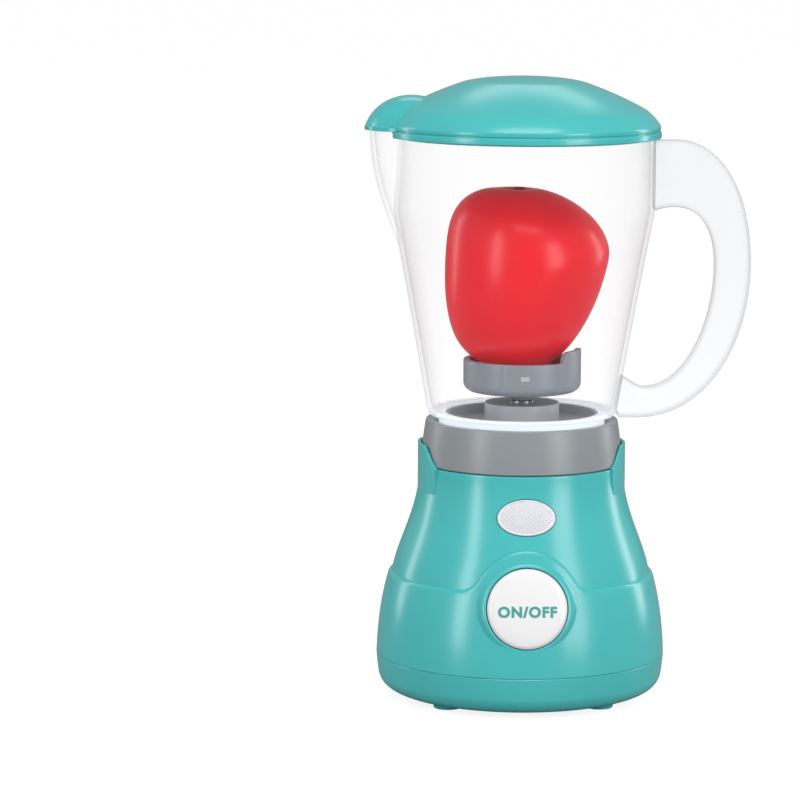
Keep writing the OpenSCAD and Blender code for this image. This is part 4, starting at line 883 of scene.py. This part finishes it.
def pouringLid():
    rim, wall, low, crown = body["jugRim"], lid["wall"], body["jugRim"] - 4, lid["crownR"] - 0.5
    side, inR = lidOutline(), lid["r"] - 5.7
    bm = spun([(0, rim - lid["lip"])] + side, close=False)
    bm = cutBy(bm, atSpout(spun([(0, lid["hoodLow"])] + hoodOutline(), 128, close=False)), "UNION")
    # the hollow follows the dome, and a second one follows the hood
    inside = [(0, low), (inR, low), (inR, rim + lid["edge"])]
    inside += [(r - wall - lid["wallSlack"], z - wall) for r, z in side
               if z > rim + 0.44 * lid["h"] and r > crown]
    inside += [(max(r - 1, 0), z - wall - 0.8) for r, z in side if r <= crown]
    bm = cutBy(bm, spun(inside, 160, close=False))
    (footR, footZ), *dome = hoodOutline(wall + lid["wallSlack"], wall)
    hollow = [(0, footZ - 1), (footR, footZ - 1)] + dome
    bm = cutBy(bm, atSpout(spun(hollow, 96, close=False)))
    # room for the jug's rim and the spout's
    bm = cutBy(bm, rod(body["jugRimR"] + lid["gap"], low, rim, sides=160))
    bm = cutBy(bm, rod(body["spoutR"] + lid["gap"], low, rim + 1.6, (-body["spoutX"], 0), 128))
    plugLow, plugTop = rim - lid["plug"], rim + 2.5
    plug = spun([(lid["plugR"], plugLow), (lid["plugR"], plugTop), (lid["plugIn"], plugTop),
                 (lid["plugIn"], plugLow)], 160)
    return merged(bm, softenEdges(plug, 0.4, 50))


makePiece("pouringLid", pouringLid(), "lid", tealAbs, ["lid"], sharpAngle=24)
print("lid done")

# stage, light and camera



def seenDirectly(tree):
    # 1 for what the camera sees itself, also through clear plastic, and 0 for the light that pieces get
    path = addNode(tree, "LightPath")
    seen = addNode(tree, "Math", {"operation": "MAXIMUM"}, {
        0: path.outputs["Is Camera Ray"], 1: path.outputs["Is Transmission Ray"]})
    return seen.outputs["Value"]


# Half the floor's side in metres, how white it looks, how much light it throws back and the soft light
stageSizes = {"floor": 60.0, "white": 0.86, "grey": 0.4, "soft": 0.42}
bm = bmesh.new()
bmesh.ops.create_grid(bm, x_segments=1, y_segments=1, size=stageSizes["floor"])
mesh = bpy.data.meshes.new("floor")
bm.to_mesh(mesh)
bm.free()
floor = bpy.data.objects.new("floor", mesh)
bpy.context.scene.collection.objects.link(floor)

# White paper that looks evenly lit, without a horizon, and still takes the soft shadows
paper = bpy.data.materials.new("whitePaper")
paper.use_nodes = True
tree = paper.node_tree
tree.nodes.clear()
lit = addNode(tree, "BsdfDiffuse", {"Color": (stageSizes["grey"],) * 3 + (1,)})
share = addNode(tree, "Math", {"operation": "MULTIPLY", 1: stageSizes["white"]}, {0: seenDirectly(tree)})
glow = addNode(tree, "Emission", links={"Strength": share.outputs["Value"]})
both = addNode(tree, "AddShader", links={0: lit.outputs["BSDF"], 1: glow.outputs["Emission"]})
addNode(tree, "OutputMaterial", links={"Surface": both.outputs["Shader"]})
mesh.materials.append(paper)

world = bpy.data.worlds.new("studio")
world.use_nodes = True
tree = world.node_tree
tree.nodes.clear()
soft = addNode(tree, "Background", {"Strength": stageSizes["soft"]})
white = addNode(tree, "Background", {"Strength": 1.0})
mix = addNode(tree, "MixShader", links={"Fac": seenDirectly(tree), 1: soft.outputs["Background"],
                                        2: white.outputs["Background"]})
addNode(tree, "OutputWorld", links={"Surface": mix.outputs["Shader"]})
bpy.context.scene.world = world

# A long lens from 1.43 m, a little above the lid and 3 degrees round to the left. aimPixel is where the
# photograph shows the aim point.
shot = {"azimuth": -3, "elevation": 7.7, "roll": 0.5, "distance": 1.428, "focal": 166.5, "sensor": 36,
        "aim": (0, 0, 0.12), "aimPixel": (522, 386), "frame": 800}

# Each soft box's azimuth from the camera, height of its middle, distance, width, height and power
softBoxes = {
    "leftStrip": (-49, 0.30, 1.1, 0.20, 0.8, 3.6),
    "rightStrip": (45, 0.30, 1.1, 0.40, 0.8, 5.0),
    "leftEdge": (-116, 0.25, 1.0, 0.10, 0.8, 1.5),
    "rightEdge": (118, 0.25, 1.0, 0.16, 0.8, 2.2),
    "topBox": (4, 1.10, 0.6, 0.8, 0.5, 5.0),
    "rearBox": (178, 0.95, 0.8, 0.55, 0.22, 0.7),
}
for name, (azimuth, height, distance, width, tall, power) in softBoxes.items():
    light = bpy.data.lights.new(name, "AREA")
    light.shape, light.size, light.size_y, light.energy = "RECTANGLE", width, tall, power
    lamp = bpy.data.objects.new(name, light)
    lamp.visible_camera = False
    bpy.context.scene.collection.objects.link(lamp)
    a = math.radians(azimuth + shot["azimuth"])
    lamp.location = (math.sin(a) * distance, -math.cos(a) * distance, height)
    aim = Vector(shot["aim"]) - lamp.location
    lamp.rotation_euler = aim.to_track_quat("-Z", "Y").to_euler()

a, e, roll = (math.radians(shot[key]) for key in ("azimuth", "elevation", "roll"))
back = Vector((math.sin(a) * math.cos(e), -math.cos(a) * math.cos(e), math.sin(e)))
right = (-back).cross(Vector((0, 0, 1))).normalized()
up = right.cross(-back)
right, up = right * math.cos(roll) + up * math.sin(roll), up * math.cos(roll) - right * math.sin(roll)
camera = bpy.data.objects.new("camera", bpy.data.cameras.new("camera"))
bpy.context.scene.collection.objects.link(camera)
place = Matrix((right, up, back)).transposed().to_4x4()
place.translation = Vector(shot["aim"]) + back * shot["distance"]
camera.matrix_world = place
camera.data.lens, camera.data.sensor_width = shot["focal"], shot["sensor"]
camera.data.shift_x = (shot["frame"] / 2 - shot["aimPixel"][0]) / shot["frame"]
camera.data.shift_y = (shot["aimPixel"][1] - shot["frame"] / 2) / shot["frame"]
bpy.context.scene.camera = camera
bpy.context.scene.view_settings.view_transform = "Standard"
print("stage done")
